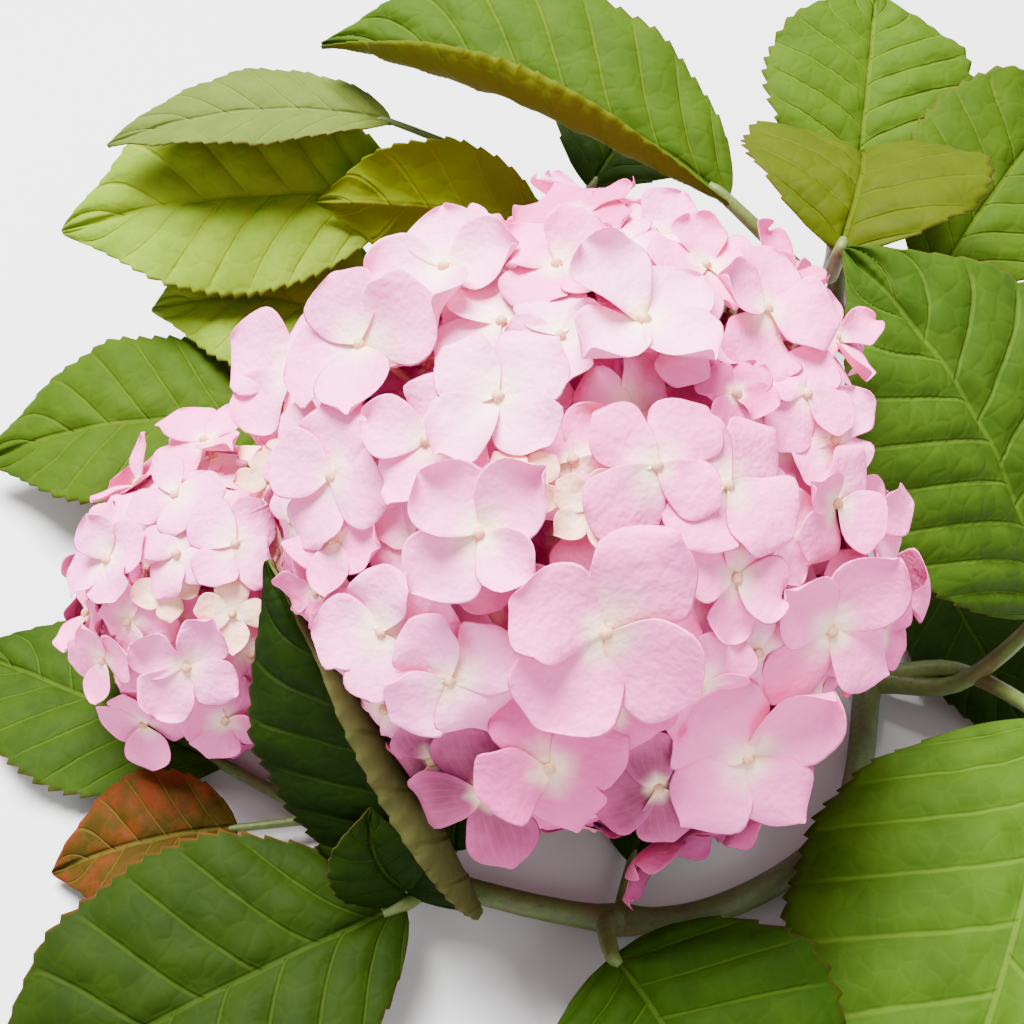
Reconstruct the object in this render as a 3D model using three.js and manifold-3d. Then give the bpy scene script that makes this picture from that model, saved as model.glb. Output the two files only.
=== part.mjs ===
// A cut hydrangea branch lying down: woody stem, leafy green shoots, opposite leaves and two
// mophead blooms. Millimetres, Z up, the floor at Z = 0.
import * as THREE from "three";
import { mergeVertices } from "three/addons/utils/BufferGeometryUtils.js";
import Module from "manifold-3d";

const wasm = await Module();
wasm.setup();

// The box's middle, taken off every place below so that the origin is its bottom centre.
const MIDDLE_X = 2.6;
const MIDDLE_Y = 41;

const CLEARANCE = 0.35;
const FLOOR = 0;
const FAR = 400;
const GOLDEN_ANGLE = Math.PI * (3 - Math.sqrt(5));
const TUBE_SIDES = 7;

const radians = THREE.MathUtils.degToRad;
const vec = ([x, y, z]) => new THREE.Vector3(x, y, z);

// The same numbers every time: a linear congruential sequence from 0 to 1.
function sequence(seed) {
  let state = seed;
  return () => {
    state = (Math.imul(state, 1664525) + 1013904223) >>> 0;
    return state / 2 ** 32;
  };
}

function solidFrom(points, triangles, lowest = FLOOR) {
  const places = new Float32Array(points.length * 3);
  points.forEach((p, i) => places.set([p.x, p.y, Math.max(p.z, lowest)], i * 3));
  return new wasm.Manifold(
    new wasm.Mesh({ numProp: 3, vertProperties: places, triVerts: new Uint32Array(triangles.flat()) }),
  );
}

function largestBody(solid) {
  return solid.decompose().sort((a, b) => b.volume() - a.volume())[0];
}

function solidOfGeometry(geometry, matrix) {
  geometry.deleteAttribute("normal");
  geometry.deleteAttribute("uv");
  const merged = mergeVertices(geometry.applyMatrix4(matrix));
  const places = merged.attributes.position;
  const points = Array.from({ length: places.count }, (_, i) =>
    new THREE.Vector3().fromBufferAttribute(places, i),
  );
  return solidFrom(points, Array.from(merged.index.array), -FAR);
}

const curveThrough = (knots) => new THREE.CatmullRomCurve3(knots, false, "catmullrom", 0.5);

function tube(path, radii, sides = TUBE_SIDES) {
  const last = path.length - 1;
  const points = [];
  const triangles = [];
  let across = null;
  path.forEach((centre, i) => {
    const ahead = path[Math.min(i + 1, last)].clone().sub(path[Math.max(i - 1, 0)]).normalize();
    across ??= new THREE.Vector3(0.31, 0.17, 0.93).cross(ahead);
    across = across.clone().addScaledVector(ahead, -across.dot(ahead)).normalize();
    const above = ahead.clone().cross(across);
    for (let k = 0; k < sides; k++) {
      const angle = (2 * Math.PI * k) / sides;
      points.push(
        centre
          .clone()
          .addScaledVector(across, radii[i] * Math.cos(angle))
          .addScaledVector(above, radii[i] * Math.sin(angle)),
      );
    }
  });
  for (let i = 0; i < last; i++)
    for (let k = 0; k < sides; k++) {
      const a = i * sides + k;
      const b = i * sides + ((k + 1) % sides);
      triangles.push([a, b, b + sides], [a, b + sides, a + sides]);
    }
  for (let k = 1; k < sides - 1; k++) {
    triangles.push([0, k + 1, k]);
    triangles.push([last * sides, last * sides + k, last * sides + k + 1]);
  }
  return solidFrom(points, triangles);
}

// Stems: knots along the middle, the radius at each end, and the knots that swell into leaf nodes.
const STEPS_PER_KNOT = 3;
const NODE_SWELL = 1.3;
const STEMS = [
  {
    name: "main_stem",
    knots: [[58, 232, 5.8], [74, 196, 6.4], [86, 150, 7], [92, 92, 8], [101, 48, 8.5], [106, 2, 7]],
    radii: [6, 4.6],
    nodes: [2, 3, 4, 5],
  },
  {
    name: "large_bloom_shoot",
    knots: [[101, 48, 8.5], [84, 50, 14], [68, 46, 25], [49.5, 37.7, 38.8]],
    radii: [4.2, 3.7],
    nodes: [2],
  },
  {
    name: "front_leafy_shoot",
    knots: [[106, 2, 7], [92, -42, 6.5], [62, -66, 7.5], [28, -73, 9], [-22, -62, 11], [-52, -44, 10]],
    radii: [4, 2.8],
    nodes: [3, 4, 5],
  },
  {
    name: "small_bloom_shoot",
    knots: [[92, 92, 8], [52, 112, 20], [2, 112, 27], [-40, 84, 21], [-62.2, 32.6, 30.2]],
    radii: [4, 3.1],
    nodes: [1, 2, 3],
  },
  {
    name: "right_back_leafy_shoot",
    knots: [[92, 92, 8], [96, 90, 40], [98, 94, 70], [97, 101, 92]],
    radii: [3.9, 2.6],
    nodes: [1, 2, 3],
  },
  {
    name: "left_back_leafy_shoot",
    knots: [[52, 112, 20], [34, 124, 46], [14, 138, 68], [-8, 148, 84]],
    radii: [3.3, 2.2],
    nodes: [1, 2, 3],
  },
];

function stemSolid(stem, extra = 0) {
  const curve = curveThrough(stem.knots.map(vec));
  const spans = stem.knots.length - 1;
  const path = [];
  const radii = [];
  for (let i = 0; i <= spans * STEPS_PER_KNOT; i++) {
    const knot = i / STEPS_PER_KNOT;
    const swell = stem.nodes.includes(knot) ? NODE_SWELL : 1;
    path.push(curve.getPoint(knot / spans));
    radii.push(THREE.MathUtils.lerp(...stem.radii, knot / spans) * swell + extra);
  }
  return tube(path, radii);
}

// Leaves: where the blade starts and ends, how far the middle is drawn off the straight line, which
// way the upper face looks, the width, the V fold and the roll of the two margins in degrees.
const ROWS = 10;
const HALF_COLUMNS = 2;
const BLADE_THICKNESS = 1.5;
const PETIOLE_SIDES = 5;
const PETIOLE_STEPS = 6;
const LEAVES = [
  { name: "leaf_front_right", stem: [106, 2, 7], neck: [143, -28, 34], tip: [84, -152, 0.8], bow: [10, -2, 26], up: [-0.3, -0.1, 0.95], width: 112, fold: 10, roll: [12, 18] },
  { name: "leaf_right", stem: [106, 2, 7], neck: [143, -5, 50], tip: [85, 59, 122], bow: [14, -4, 14], up: [0.3, -0.5, 0.8], width: 90, fold: 8, roll: [14, 14] },
  { name: "leaf_back_heart", stem: [97, 101, 92], neck: [86, 63, 118], tip: [106, 134, 97], bow: [2, -6, 28], up: [-0.14, -0.5, 0.84], width: 68, fold: 16, roll: [14, 14] },
  { name: "leaf_back_upright", stem: [97, 101, 92], neck: [108, 130, 84], tip: [120, 199, 115], bow: [0, 4, 14], up: [0, -0.6, 0.8], width: 68, fold: 10, roll: [14, 14] },
  { name: "leaf_back_left_long", stem: [98, 94, 70], neck: [65, 114, 96], tip: [-60.5, 168, 115], bow: [2, 6, 26], up: [0.1, -0.35, 0.93], width: 72, fold: 12, roll: [-78, 14] },
  { name: "leaf_back_left_under", stem: [14, 138, 68], neck: [10, 128, 76], tip: [-62, 132, 82], bow: [0, -6, 10], up: [0, 0.85, -0.3], width: 44, fold: 10, roll: [20, 20] },
  { name: "leaf_back_left_pale", stem: [-8, 148, 84], neck: [-38, 152, 98], tip: [-130, 150, 90], bow: [0, 4, 14], up: [0, -0.05, 1], width: 38, fold: 14, roll: [14, 14] },
  { name: "leaf_front_left", stem: [-22, -62, 11], neck: [-27, -73, 19], tip: [-128, -120, 0.8], bow: [-6, -10, 24], up: [-0.1, -0.25, 0.96], width: 78, fold: 10, roll: [16, 16] },
  { name: "leaf_between_blooms", stem: [-22, -62, 11], neck: [-9, -74, 17], tip: [-58, -20, 94], bow: [0, -14, 9], up: [-0.5, -0.6, 0.6], width: 62, fold: 10, roll: [6, -78] },
  { name: "leaf_young_front", stem: [-22, -62, 11], neck: [-26, -70, 20], tip: [-34, -62, 50], bow: [-6, -8, 6], up: [0.2, -0.8, 0.5], width: 26, fold: 22, roll: [30, 30] },
  { name: "leaf_young_dark", stem: [-22, -62, 11], neck: [-15, -60, 22], tip: [-12, -46, 40], bow: [-2, -10, 6], up: [0.3, -0.8, 0.5], width: 22, fold: 22, roll: [30, 30] },
  { name: "leaf_front_middle", stem: [28, -73, 9], neck: [24.5, -88, 23], tip: [54, -140, 0.8], bow: [4, -2, 20], up: [-0.1, -0.12, 0.98], width: 82, fold: 12, roll: [16, 16] },
  { name: "leaf_under_bloom", stem: [28, -73, 9], neck: [32, -56, 7], tip: [60, 10, 3], bow: [0, 0, 2], up: [0, 0, 1], width: 44, fold: 4, roll: [4, 4] },
  { name: "leaf_back_right_pale", stem: [98, 94, 70], neck: [124, 91, 80], tip: [179, 157, 106], bow: [0, 0, 18], up: [0.1, -0.5, 0.86], width: 62, fold: 10, roll: [14, 14] },
  { name: "leaf_right_low", stem: [101, 48, 8.5], neck: [124, 56, 14], tip: [152, -26, 0.8], bow: [0, 0, 10], up: [0, 0, 1], width: 46, fold: 8, roll: [12, 12] },
  { name: "leaf_left_green", stem: [-52, -44, 10], neck: [-82, -26, 6], tip: [-165, 14, 4], bow: [0, 0, 8], up: [0, 0, 1], width: 58, fold: 8, roll: [10, 10] },
  { name: "leaf_left_autumn", stem: [-52, -44, 10], neck: [-74, -48, 11], tip: [-124, -58, 4], bow: [0, 0, 10], up: [0, -0.1, 1], width: 40, fold: 12, roll: [14, 14] },
  { name: "leaf_far_left", stem: [-40, 84, 21], neck: [-72, 88, 24], tip: [-176, 84, 12], bow: [0, 0, 24], up: [0, -0.2, 0.98], width: 66, fold: 10, roll: [14, 14] },
  { name: "leaf_yellow_left", stem: [-8, 148, 84], neck: [-34, 142, 76], tip: [-150, 142, 62], bow: [0, 2, 14], up: [0, -0.5, 0.86], width: 70, fold: 10, roll: [14, 14] },
  { name: "leaf_yellow_low", stem: [2, 112, 27], neck: [-34, 116, 38], tip: [-122, 128, 40], bow: [0, 0, 24], up: [0, -0.35, 0.93], width: 58, fold: 10, roll: [14, 14] },
  { name: "leaf_back_dark", stem: [14, 138, 68], neck: [26, 150, 74], tip: [66, 208, 66], bow: [0, 4, 22], up: [0, -0.3, 0.95], width: 60, fold: 12, roll: [14, 14] },
];

function bladeProfile(t) {
  const round = Math.sin(Math.PI * t ** 0.86) ** 0.78;
  const drawnOut = 1 - 0.3 * THREE.MathUtils.smoothstep(t, 0.7, 1);
  return Math.max(round * drawnOut, 0.03);
}

function bladeFrame(leaf, t) {
  const neck = vec(leaf.neck);
  const tip = vec(leaf.tip);
  const bend = neck.clone().add(tip).multiplyScalar(0.5).add(vec(leaf.bow));
  const midrib = new THREE.QuadraticBezierCurve3(neck, bend, tip);
  const centre = midrib.getPoint(t);
  const ahead = midrib.getTangent(t);
  const up = vec(leaf.up);
  up.addScaledVector(ahead, -up.dot(ahead)).normalize();
  return { centre, ahead, up, right: ahead.clone().cross(up) };
}

// A place on the middle surface of the blade: t runs from neck to tip, side from -1 (left) to 1.
const CROSS_STEPS = 6;
function bladePoint(leaf, t, side, halfWidth) {
  const { centre, up, right } = bladeFrame(leaf, t);
  const roll = radians(leaf.roll[side < 0 ? 0 : 1]);
  const reach = Math.abs(side) * halfWidth;
  let out = 0;
  let rise = 0;
  for (let i = 0; i < CROSS_STEPS; i++) {
    const share = (((i + 0.5) / CROSS_STEPS) * reach * 2) / leaf.width;
    const slope = radians(leaf.fold) - roll * share ** 1.6 * 1.6;
    out += (Math.cos(slope) * reach) / CROSS_STEPS;
    rise += (Math.sin(slope) * reach) / CROSS_STEPS;
  }
  return centre.addScaledVector(right, Math.sign(side) * out).addScaledVector(up, rise);
}

function bladeSolid(leaf, extra = 0) {
  const columns = 2 * HALF_COLUMNS + 1;
  const half = BLADE_THICKNESS / 2 + extra;
  const grid = [];
  for (let row = 0; row < ROWS; row++) {
    const t = (0.985 * row) / (ROWS - 1);
    const halfWidth = (leaf.width / 2) * bladeProfile(t) + extra;
    for (let column = 0; column < columns; column++) {
      const side = column / HALF_COLUMNS - 1;
      const place = bladePoint(leaf, t, side, halfWidth);
      place.z = Math.max(place.z, half);
      grid.push(place);
    }
  }
  const at = (row, column) =>
    grid[THREE.MathUtils.clamp(row, 0, ROWS - 1) * columns + THREE.MathUtils.clamp(column, 0, columns - 1)];
  const points = [];
  for (const face of [1, -1])
    for (let row = 0; row < ROWS; row++)
      for (let column = 0; column < columns; column++) {
        const along = at(row + 1, column).clone().sub(at(row - 1, column));
        const across = at(row, column + 1).clone().sub(at(row, column - 1));
        const normal = across.cross(along).normalize();
        const side = column / HALF_COLUMNS - 1;
        const depth = half * (1 - 0.35 * side ** 2) * face;
        points.push(at(row, column).clone().addScaledVector(normal, depth));
      }
  const tip = bladeFrame(leaf, 1).centre;
  tip.z = Math.max(tip.z, half);
  points.push(tip);
  const triangles = [];
  const top = (row, column) => row * columns + column;
  const under = (row, column) => (ROWS + row) * columns + column;
  const quad = (a, b, c, d) => triangles.push([a, b, c], [a, c, d]);
  for (let row = 0; row < ROWS - 1; row++) {
    for (let column = 0; column < columns - 1; column++) {
      quad(top(row, column), top(row, column + 1), top(row + 1, column + 1), top(row + 1, column));
      quad(under(row, column), under(row + 1, column), under(row + 1, column + 1), under(row, column + 1));
    }
    quad(top(row, 0), top(row + 1, 0), under(row + 1, 0), under(row, 0));
    const edge = columns - 1;
    quad(top(row, edge), under(row, edge), under(row + 1, edge), top(row + 1, edge));
  }
  const end = ROWS - 1;
  const point = points.length - 1;
  for (let column = 0; column < columns - 1; column++) {
    quad(top(0, column), under(0, column), under(0, column + 1), top(0, column + 1));
    triangles.push([top(end, column), top(end, column + 1), point]);
    triangles.push([under(end, column + 1), under(end, column), point]);
  }
  triangles.push([under(end, 0), top(end, 0), point]);
  triangles.push([top(end, columns - 1), under(end, columns - 1), point]);
  return solidFrom(points, triangles);
}

function petioleSolid(leaf, extra = 0) {
  const root = vec(leaf.stem);
  const neck = vec(leaf.neck);
  const { ahead } = bladeFrame(leaf, 0);
  const stretch = neck.distanceTo(root);
  const before = neck.clone().addScaledVector(ahead, -0.4 * stretch);
  const knots = [root, root.clone().add(before).multiplyScalar(0.5), neck];
  const { centre, up } = bladeFrame(leaf, 0.05);
  knots.push(centre.addScaledVector(up, -0.2));
  const size = THREE.MathUtils.clamp(leaf.width / 60, 0.6, 1.25);
  const curve = curveThrough(knots);
  const path = [];
  const radii = [];
  for (let i = 0; i <= PETIOLE_STEPS; i++) {
    const share = i / PETIOLE_STEPS;
    const radius = size * THREE.MathUtils.lerp(2.5, 1.2, share) + extra;
    const place = curve.getPoint(share);
    place.z = Math.max(place.z, radius);
    path.push(place);
    radii.push(radius);
  }
  return tube(path, radii, PETIOLE_SIDES);
}

const leafSolid = (leaf, extra = 0) =>
  bladeSolid(leaf, extra).add(petioleSolid(leaf, extra));

// Blooms: a rounded head of four-lobed florets on thin stalks that stand out of a smaller core. The
// chosen florets (bearing, height angle, size, spin, share of a turn to the open side) are the large
// ones in front; the rest follow a golden-angle spiral from the apex round to the stem.
const OPEN_SIDE = [0, -0.643, 0.766];
const BLOOMS = [
  {
    name: "large_bloom",
    centre: [16, 1, 80],
    axis: [-0.52, -0.57, 0.64],
    radius: 80,
    core: 0.8,
    spread: 132,
    count: 76,
    size: 36,
    seed: 11,
    chosen: [
      [-88, 36, 42, 55, 0.2], [-114, 47, 33, 60, 0.15], [-127, 26, 28, 20, 0.45],
      [-113, 24, 30, 45, 0.4], [-45, 79, 35, 20, 0.2], [-73, 58, 31, 45, 0.1],
      [-57, 52, 30, 30, 0.1], [-125, 66, 31, 70, 0.2], [-137, 55, 28, 100, 0.3],
      [-152, 40, 30, 100, 0.4], [-65, 8, 38, 35, 0.7], [-47, 23, 36, 40, 0.45],
      [-61, 26, 22, 0, 0.5], [4, 61, 32, 25, 0.35], [-18, 52, 25, 15, 0.3],
      [-22, 44, 24, 20, 0.4], [-62, 39, 25, 60, 0.3], [156, 65, 31, 50, 0.4],
      [-91, 53, 17, 45, 0.1], [-108, 55, 17, 60, 0.1], [-96, 12, 34, 290, 0.5],
      [-106, 3, 34, 290, 0.5], [-177, 53, 36, 60, 0.4], [61, 77, 25, 50, 0.3],
      [-163, 41, 27, 100, 0.4], [-87, 22, 30, 300, 0.4], [37, 45, 29, 60, 0.1],
      [166, 29, 36, 5, 0.6], [-143, 23, 20, 20, 0.4], [-72, 24, 24, 60, 0.3],
      [-79, 5, 28, 20, 0.5], [-25, 27, 24, 80, 0.1], [-37, 62, 18, 30, 0.2],
      [91, 64, 28, 20, 0.3], [58, 68, 25, 60, 0.3], [27, 68, 26, 30, 0.3],
      [128, 47, 27, 40, 0.1], [-114, 79, 23, 30, 0.1], [132, 83, 28, 10, 0.2],
      [-28, 73, 23, 40, 0.1], [19, 35, 26, 40, 0.4], [-29, 4, 26, 40, 0.4],
      [-115, 5, 26, 30, 0.4], [-132, 21, 22, 20, 0.4], [-124, 12, 26, 60, 0.4],
      [-33, 38, 26, 30, 0.3],
    ],
  },
  {
    name: "small_bloom",
    centre: [-78, 7, 44.5],
    axis: [-0.475, -0.77, 0.43],
    radius: 42,
    core: 0.78,
    spread: 130,
    count: 44,
    size: 24,
    seed: 29,
    chosen: [
      [-58, 66, 25, 30, 0.2], [-106, 65, 22, 80, 0.2], [-110, 53, 17, 30, 0.1],
      [-94, 27, 29, 60, 0.4], [-73, 44, 18, 80, 0.2], [50, 59, 18, 45, 0.3],
      [-170, 80, 24, 40, 0.3], [-84, 2, 25, 60, 0.5], [25, 67, 19, 20, 0.2],
      [-29, 53, 19, 60, 0.3], [101, 57, 27, 20, 0.3], [-149, 49, 25, 60, 0.3],
      [-131, 16, 24, 30, 0.3], [-118, -13, 25, 20, 0.4],
    ],
  },
];
const SAME_PLACE = 0.52;
const LAYERS = [0.99, 0.93, 0.87];

function facing(normal) {
  const right = new THREE.Vector3(-normal.y, normal.x, 0).normalize();
  return { right, above: normal.clone().cross(right) };
}

function placeFlorets(bloom) {
  const random = sequence(bloom.seed);
  const between = (low, high) => low + (high - low) * random();
  const centre = vec(bloom.centre);
  const axis = vec(bloom.axis).normalize();
  const axisFrame = facing(axis);
  const florets = bloom.chosen.map(([bearing, height, size, spin, turned]) => {
    const flat = Math.cos(radians(height));
    const out = new THREE.Vector3(
      flat * Math.cos(radians(bearing)),
      flat * Math.sin(radians(bearing)),
      Math.sin(radians(height)),
    );
    return { out, reach: bloom.radius, size, spin: radians(spin), lean: [0, 0], cup: 0.1, turned };
  });
  const chosenCount = florets.length;
  for (let i = 0; i < bloom.count; i++) {
    const down = 1 - ((1 - Math.cos(radians(bloom.spread))) * (i + 0.5)) / bloom.count;
    const away = Math.sqrt(1 - down ** 2);
    const turn = i * GOLDEN_ANGLE;
    const out = axis
      .clone()
      .multiplyScalar(down)
      .addScaledVector(axisFrame.right, away * Math.cos(turn))
      .addScaledVector(axisFrame.above, away * Math.sin(turn));
    const reach = bloom.radius * (LAYERS[i % LAYERS.length] + between(-0.015, 0.015));
    const size = bloom.size * between(0.8, 1.1);
    const spin = between(0, Math.PI / 2);
    const lean = [between(-0.16, 0.16), between(-0.16, 0.16)];
    const cup = between(-0.12, 0.22);
    const taken = florets
      .slice(0, chosenCount)
      .some((other) => other.out.distanceTo(out) * bloom.radius < SAME_PLACE * 0.5 * (other.size + size));
    if (!taken) florets.push({ out, reach, size, spin, lean, cup, turned: 0 });
  }
  for (const floret of florets) {
    const flat = facing(floret.out);
    floret.place = centre.clone().addScaledVector(floret.out, floret.reach);
    floret.normal = floret.out
      .clone()
      .addScaledVector(flat.right, floret.lean[0])
      .addScaledVector(flat.above, floret.lean[1])
      .lerp(vec(OPEN_SIDE), floret.turned)
      .normalize();
  }
  return florets;
}

// A floret in one piece with its stalk: a rim of four lobes, a shallow front and a stalk that
// runs back into the core.
const LOBE = [[-45, 0.58], [-21, 1.02], [21, 1.02]];
const SEPAL_THICKNESS = 0.9;
const STALK_RADIUS = 1.2;
const STALK_SIDES = 4;
const CORE_DETAIL = 2;
function floretSolid(floret, root) {
  const { right, above } = facing(floret.normal);
  const reach = floret.size / 2;
  const place = (from, share, turn, rise) =>
    from
      .clone()
      .addScaledVector(right, share * Math.cos(turn))
      .addScaledVector(above, share * Math.sin(turn))
      .addScaledVector(floret.normal, rise);
  const points = [];
  for (let lobe = 0; lobe < 4; lobe++)
    for (const [angle, share] of LOBE) {
      const turn = floret.spin + lobe * (Math.PI / 2) + radians(angle);
      const rise = floret.cup * reach * share ** 2 * (lobe % 2 ? 1.5 : 0.6);
      points.push(place(floret.place, share * reach, turn, rise));
    }
  const rim = points.length;
  points.push(place(floret.place, 0, 0, SEPAL_THICKNESS));
  for (const from of [floret.place, root])
    for (let k = 0; k < STALK_SIDES; k++) {
      const turn = floret.spin + ((k - 0.5) * 2 * Math.PI) / STALK_SIDES;
      points.push(place(from, STALK_RADIUS, turn, -SEPAL_THICKNESS));
    }
  const triangles = [];
  const neck = rim + 1;
  const foot = neck + STALK_SIDES;
  for (let k = 0; k < rim; k++) {
    const next = (k + 1) % rim;
    const joint = neck + (Math.floor(k / LOBE.length) % STALK_SIDES);
    triangles.push([k, next, rim], [next, k, joint]);
    if (next % LOBE.length === 0) triangles.push([next, joint, neck + ((joint - neck + 1) % STALK_SIDES)]);
  }
  for (let k = 0; k < STALK_SIDES; k++) {
    const next = (k + 1) % STALK_SIDES;
    triangles.push([neck + k, foot + next, neck + next], [neck + k, foot + k, foot + next]);
    if (k > 0 && next > 0) triangles.push([foot, foot + next, foot + k]);
  }
  return solidFrom(points, triangles);
}

function bloomSolid(bloom) {
  const centre = vec(bloom.centre);
  const coreRadius = bloom.core * bloom.radius;
  const ball = new THREE.IcosahedronGeometry(coreRadius, CORE_DETAIL);
  const pieces = [solidOfGeometry(ball, new THREE.Matrix4().makeTranslation(centre))];
  for (const floret of placeFlorets(bloom)) {
    const root = centre.clone().addScaledVector(floret.out, coreRadius * 0.95);
    pieces.push(floretSolid(floret, root));
  }
  return wasm.Manifold.union(pieces);
}

// Half of space, cut where the two blooms press against each other: side 1 lies beyond the large
// bloom's face, side -1 beyond the small bloom's.
function beyondTheDivide(side) {
  const [large, small] = BLOOMS.map((bloom) => vec(bloom.centre));
  const towards = large.clone().sub(small).normalize();
  const share = (small.distanceTo(large) + BLOOMS[1].radius - BLOOMS[0].radius) / 2;
  const middle = small.clone().addScaledVector(towards, share - side * (FAR / 2 - CLEARANCE / 2));
  const turn = new THREE.Quaternion().setFromUnitVectors(new THREE.Vector3(1, 0, 0), towards);
  const matrix = new THREE.Matrix4().compose(middle, turn, new THREE.Vector3(1, 1, 1));
  return solidOfGeometry(new THREE.BoxGeometry(FAR, FAR, FAR), matrix);
}

const solids = new Map();

const thickStems = STEMS.map((stem) => stemSolid(stem, CLEARANCE));
STEMS.forEach((stem, i) => {
  let solid = stemSolid(stem);
  for (const parent of thickStems.slice(0, i)) solid = solid.subtract(parent);
  solids.set(stem.name, largestBody(solid));
});

const allThickStems = wasm.Manifold.union(thickStems);
const thickLeaves = [];
for (const leaf of LEAVES) {
  let solid = leafSolid(leaf).subtract(allThickStems);
  for (const other of thickLeaves) solid = solid.subtract(other);
  solids.set(leaf.name, largestBody(solid));
  thickLeaves.push(leafSolid(leaf, CLEARANCE));
}

const inTheWay = wasm.Manifold.union([allThickStems, ...thickLeaves]);
BLOOMS.forEach((bloom, i) => {
  const whole = bloomSolid(bloom);
  solids.set(bloom.name, largestBody(whole.subtract(beyondTheDivide(i === 0 ? 1 : -1)).subtract(inTheWay)));
});

const COLOURS = { stem: "#7a6a45", shoot: "#7f9a4a", leaf: "#4f8a34", bloom: "#e9a9c0" };
function groupOf(kind, names) {
  const group = new THREE.Group();
  for (const name of names) {
    const solid = solids.get(name).getMesh();
    const places = new Float32Array(solid.numVert * 3);
    for (let i = 0; i < solid.numVert; i++)
      places.set(solid.vertProperties.subarray(i * solid.numProp, i * solid.numProp + 3), i * 3);
    const geometry = new THREE.BufferGeometry();
    geometry.setAttribute("position", new THREE.BufferAttribute(places, 3));
    geometry.setIndex(new THREE.BufferAttribute(solid.triVerts, 1));
    const material = new THREE.MeshStandardMaterial({ color: COLOURS[kind], roughness: 0.6, metalness: 0 });
    const node = new THREE.Mesh(geometry, material);
    node.name = name;
    group.add(node);
  }
  return group;
}

const branch = new THREE.Group();
const [mainStem, ...shoots] = STEMS.map((stem) => stem.name);
branch.add(groupOf("stem", [mainStem]));
branch.add(groupOf("shoot", shoots));
branch.add(groupOf("leaf", LEAVES.map((leaf) => leaf.name)));
branch.add(groupOf("bloom", BLOOMS.map((bloom) => bloom.name)));
branch.position.set(-MIDDLE_X, -MIDDLE_Y, 0);

export default branch;
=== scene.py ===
"""A cut hydrangea branch lying down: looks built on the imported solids, in metres."""

import math

import bmesh
import bpy
import numpy as np
from mathutils import Matrix, Vector
from mathutils.bvhtree import BVHTree


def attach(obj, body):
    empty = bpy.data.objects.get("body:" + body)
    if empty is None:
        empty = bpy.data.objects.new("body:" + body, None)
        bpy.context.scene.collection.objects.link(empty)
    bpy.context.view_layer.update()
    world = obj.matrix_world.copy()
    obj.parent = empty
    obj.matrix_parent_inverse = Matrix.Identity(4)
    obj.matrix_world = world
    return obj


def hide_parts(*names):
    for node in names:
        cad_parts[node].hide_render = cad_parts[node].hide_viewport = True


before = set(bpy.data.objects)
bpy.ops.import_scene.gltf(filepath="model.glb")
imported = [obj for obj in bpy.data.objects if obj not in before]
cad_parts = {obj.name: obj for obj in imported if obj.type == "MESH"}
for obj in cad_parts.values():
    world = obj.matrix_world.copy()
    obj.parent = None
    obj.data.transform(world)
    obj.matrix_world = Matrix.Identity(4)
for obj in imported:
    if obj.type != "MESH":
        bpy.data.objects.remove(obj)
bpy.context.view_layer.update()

# Plant sizes below are in millimetres before the box's middle is taken off.
MIDDLE = np.array([2.6, 41.0, 0.0])
MM = 0.001
FLOOR_GAP = 0.3


def metres(points):
    return (np.asarray(points, float) - MIDDLE) * MM


def unit(v):
    v = np.asarray(v, float)
    return v / np.linalg.norm(v, axis=-1, keepdims=True)


def lerp(a, b, share):
    return a + (b - a) * share


def bell(x):
    return np.exp(-(x**2))


def smoothstep(x, low, high):
    s = np.clip((x - low) / (high - low), 0, 1)
    return s * s * (3 - 2 * s)


# Camera, floor and light

ELEVATION = math.radians(50)
HALF_VIEW = math.radians(21)
CAMERA_DISTANCE = 340
CAMERA_TARGET = np.array([0.0, 4.0, 82.0])
SENSOR = 36.0
NEAREST_SEEN = 0.01
LIT_PLACE = Vector((0, 0, 0.05))
WORLD_LIGHT = 0.85
FLOOR_HALF = 3.0


def place_camera():
    ahead = np.array([0.0, math.cos(ELEVATION), -math.sin(ELEVATION)])
    camera = bpy.data.objects.new("camera", bpy.data.cameras.new("camera"))
    camera.data.sensor_width = SENSOR
    camera.data.lens = SENSOR / 2 / math.tan(HALF_VIEW)
    camera.location = metres(CAMERA_TARGET - ahead * CAMERA_DISTANCE)
    camera.rotation_euler = (math.pi / 2 - ELEVATION, 0, 0)
    camera.data.clip_start = NEAREST_SEEN
    bpy.context.collection.objects.link(camera)
    bpy.context.scene.camera = camera


def add_softbox(name, place, size, watts):
    lamp = bpy.data.lights.new(name, "AREA")
    lamp.shape = "DISK"
    lamp.size = size
    lamp.energy = watts
    holder = bpy.data.objects.new(name, lamp)
    holder.location = place
    holder.rotation_euler = (LIT_PLACE - Vector(place)).to_track_quat("-Z", "Y").to_euler()
    bpy.context.collection.objects.link(holder)


# One network class for material and geometry trees, and readings that take Python operators

class Reading:
    """A value in a material: an expression on readings adds Math nodes."""

    def __init__(self, net, socket):
        self.net = net
        self.socket = socket

    def __add__(self, other):
        return self.net.maths("ADD", self, other)

    def __radd__(self, other):
        return self.net.maths("ADD", other, self)

    def __sub__(self, other):
        return self.net.maths("SUBTRACT", self, other)

    def __rsub__(self, other):
        return self.net.maths("SUBTRACT", other, self)

    def __mul__(self, other):
        return self.net.maths("MULTIPLY", self, other)

    def __pow__(self, other):
        return self.net.maths("POWER", self, other)


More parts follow.
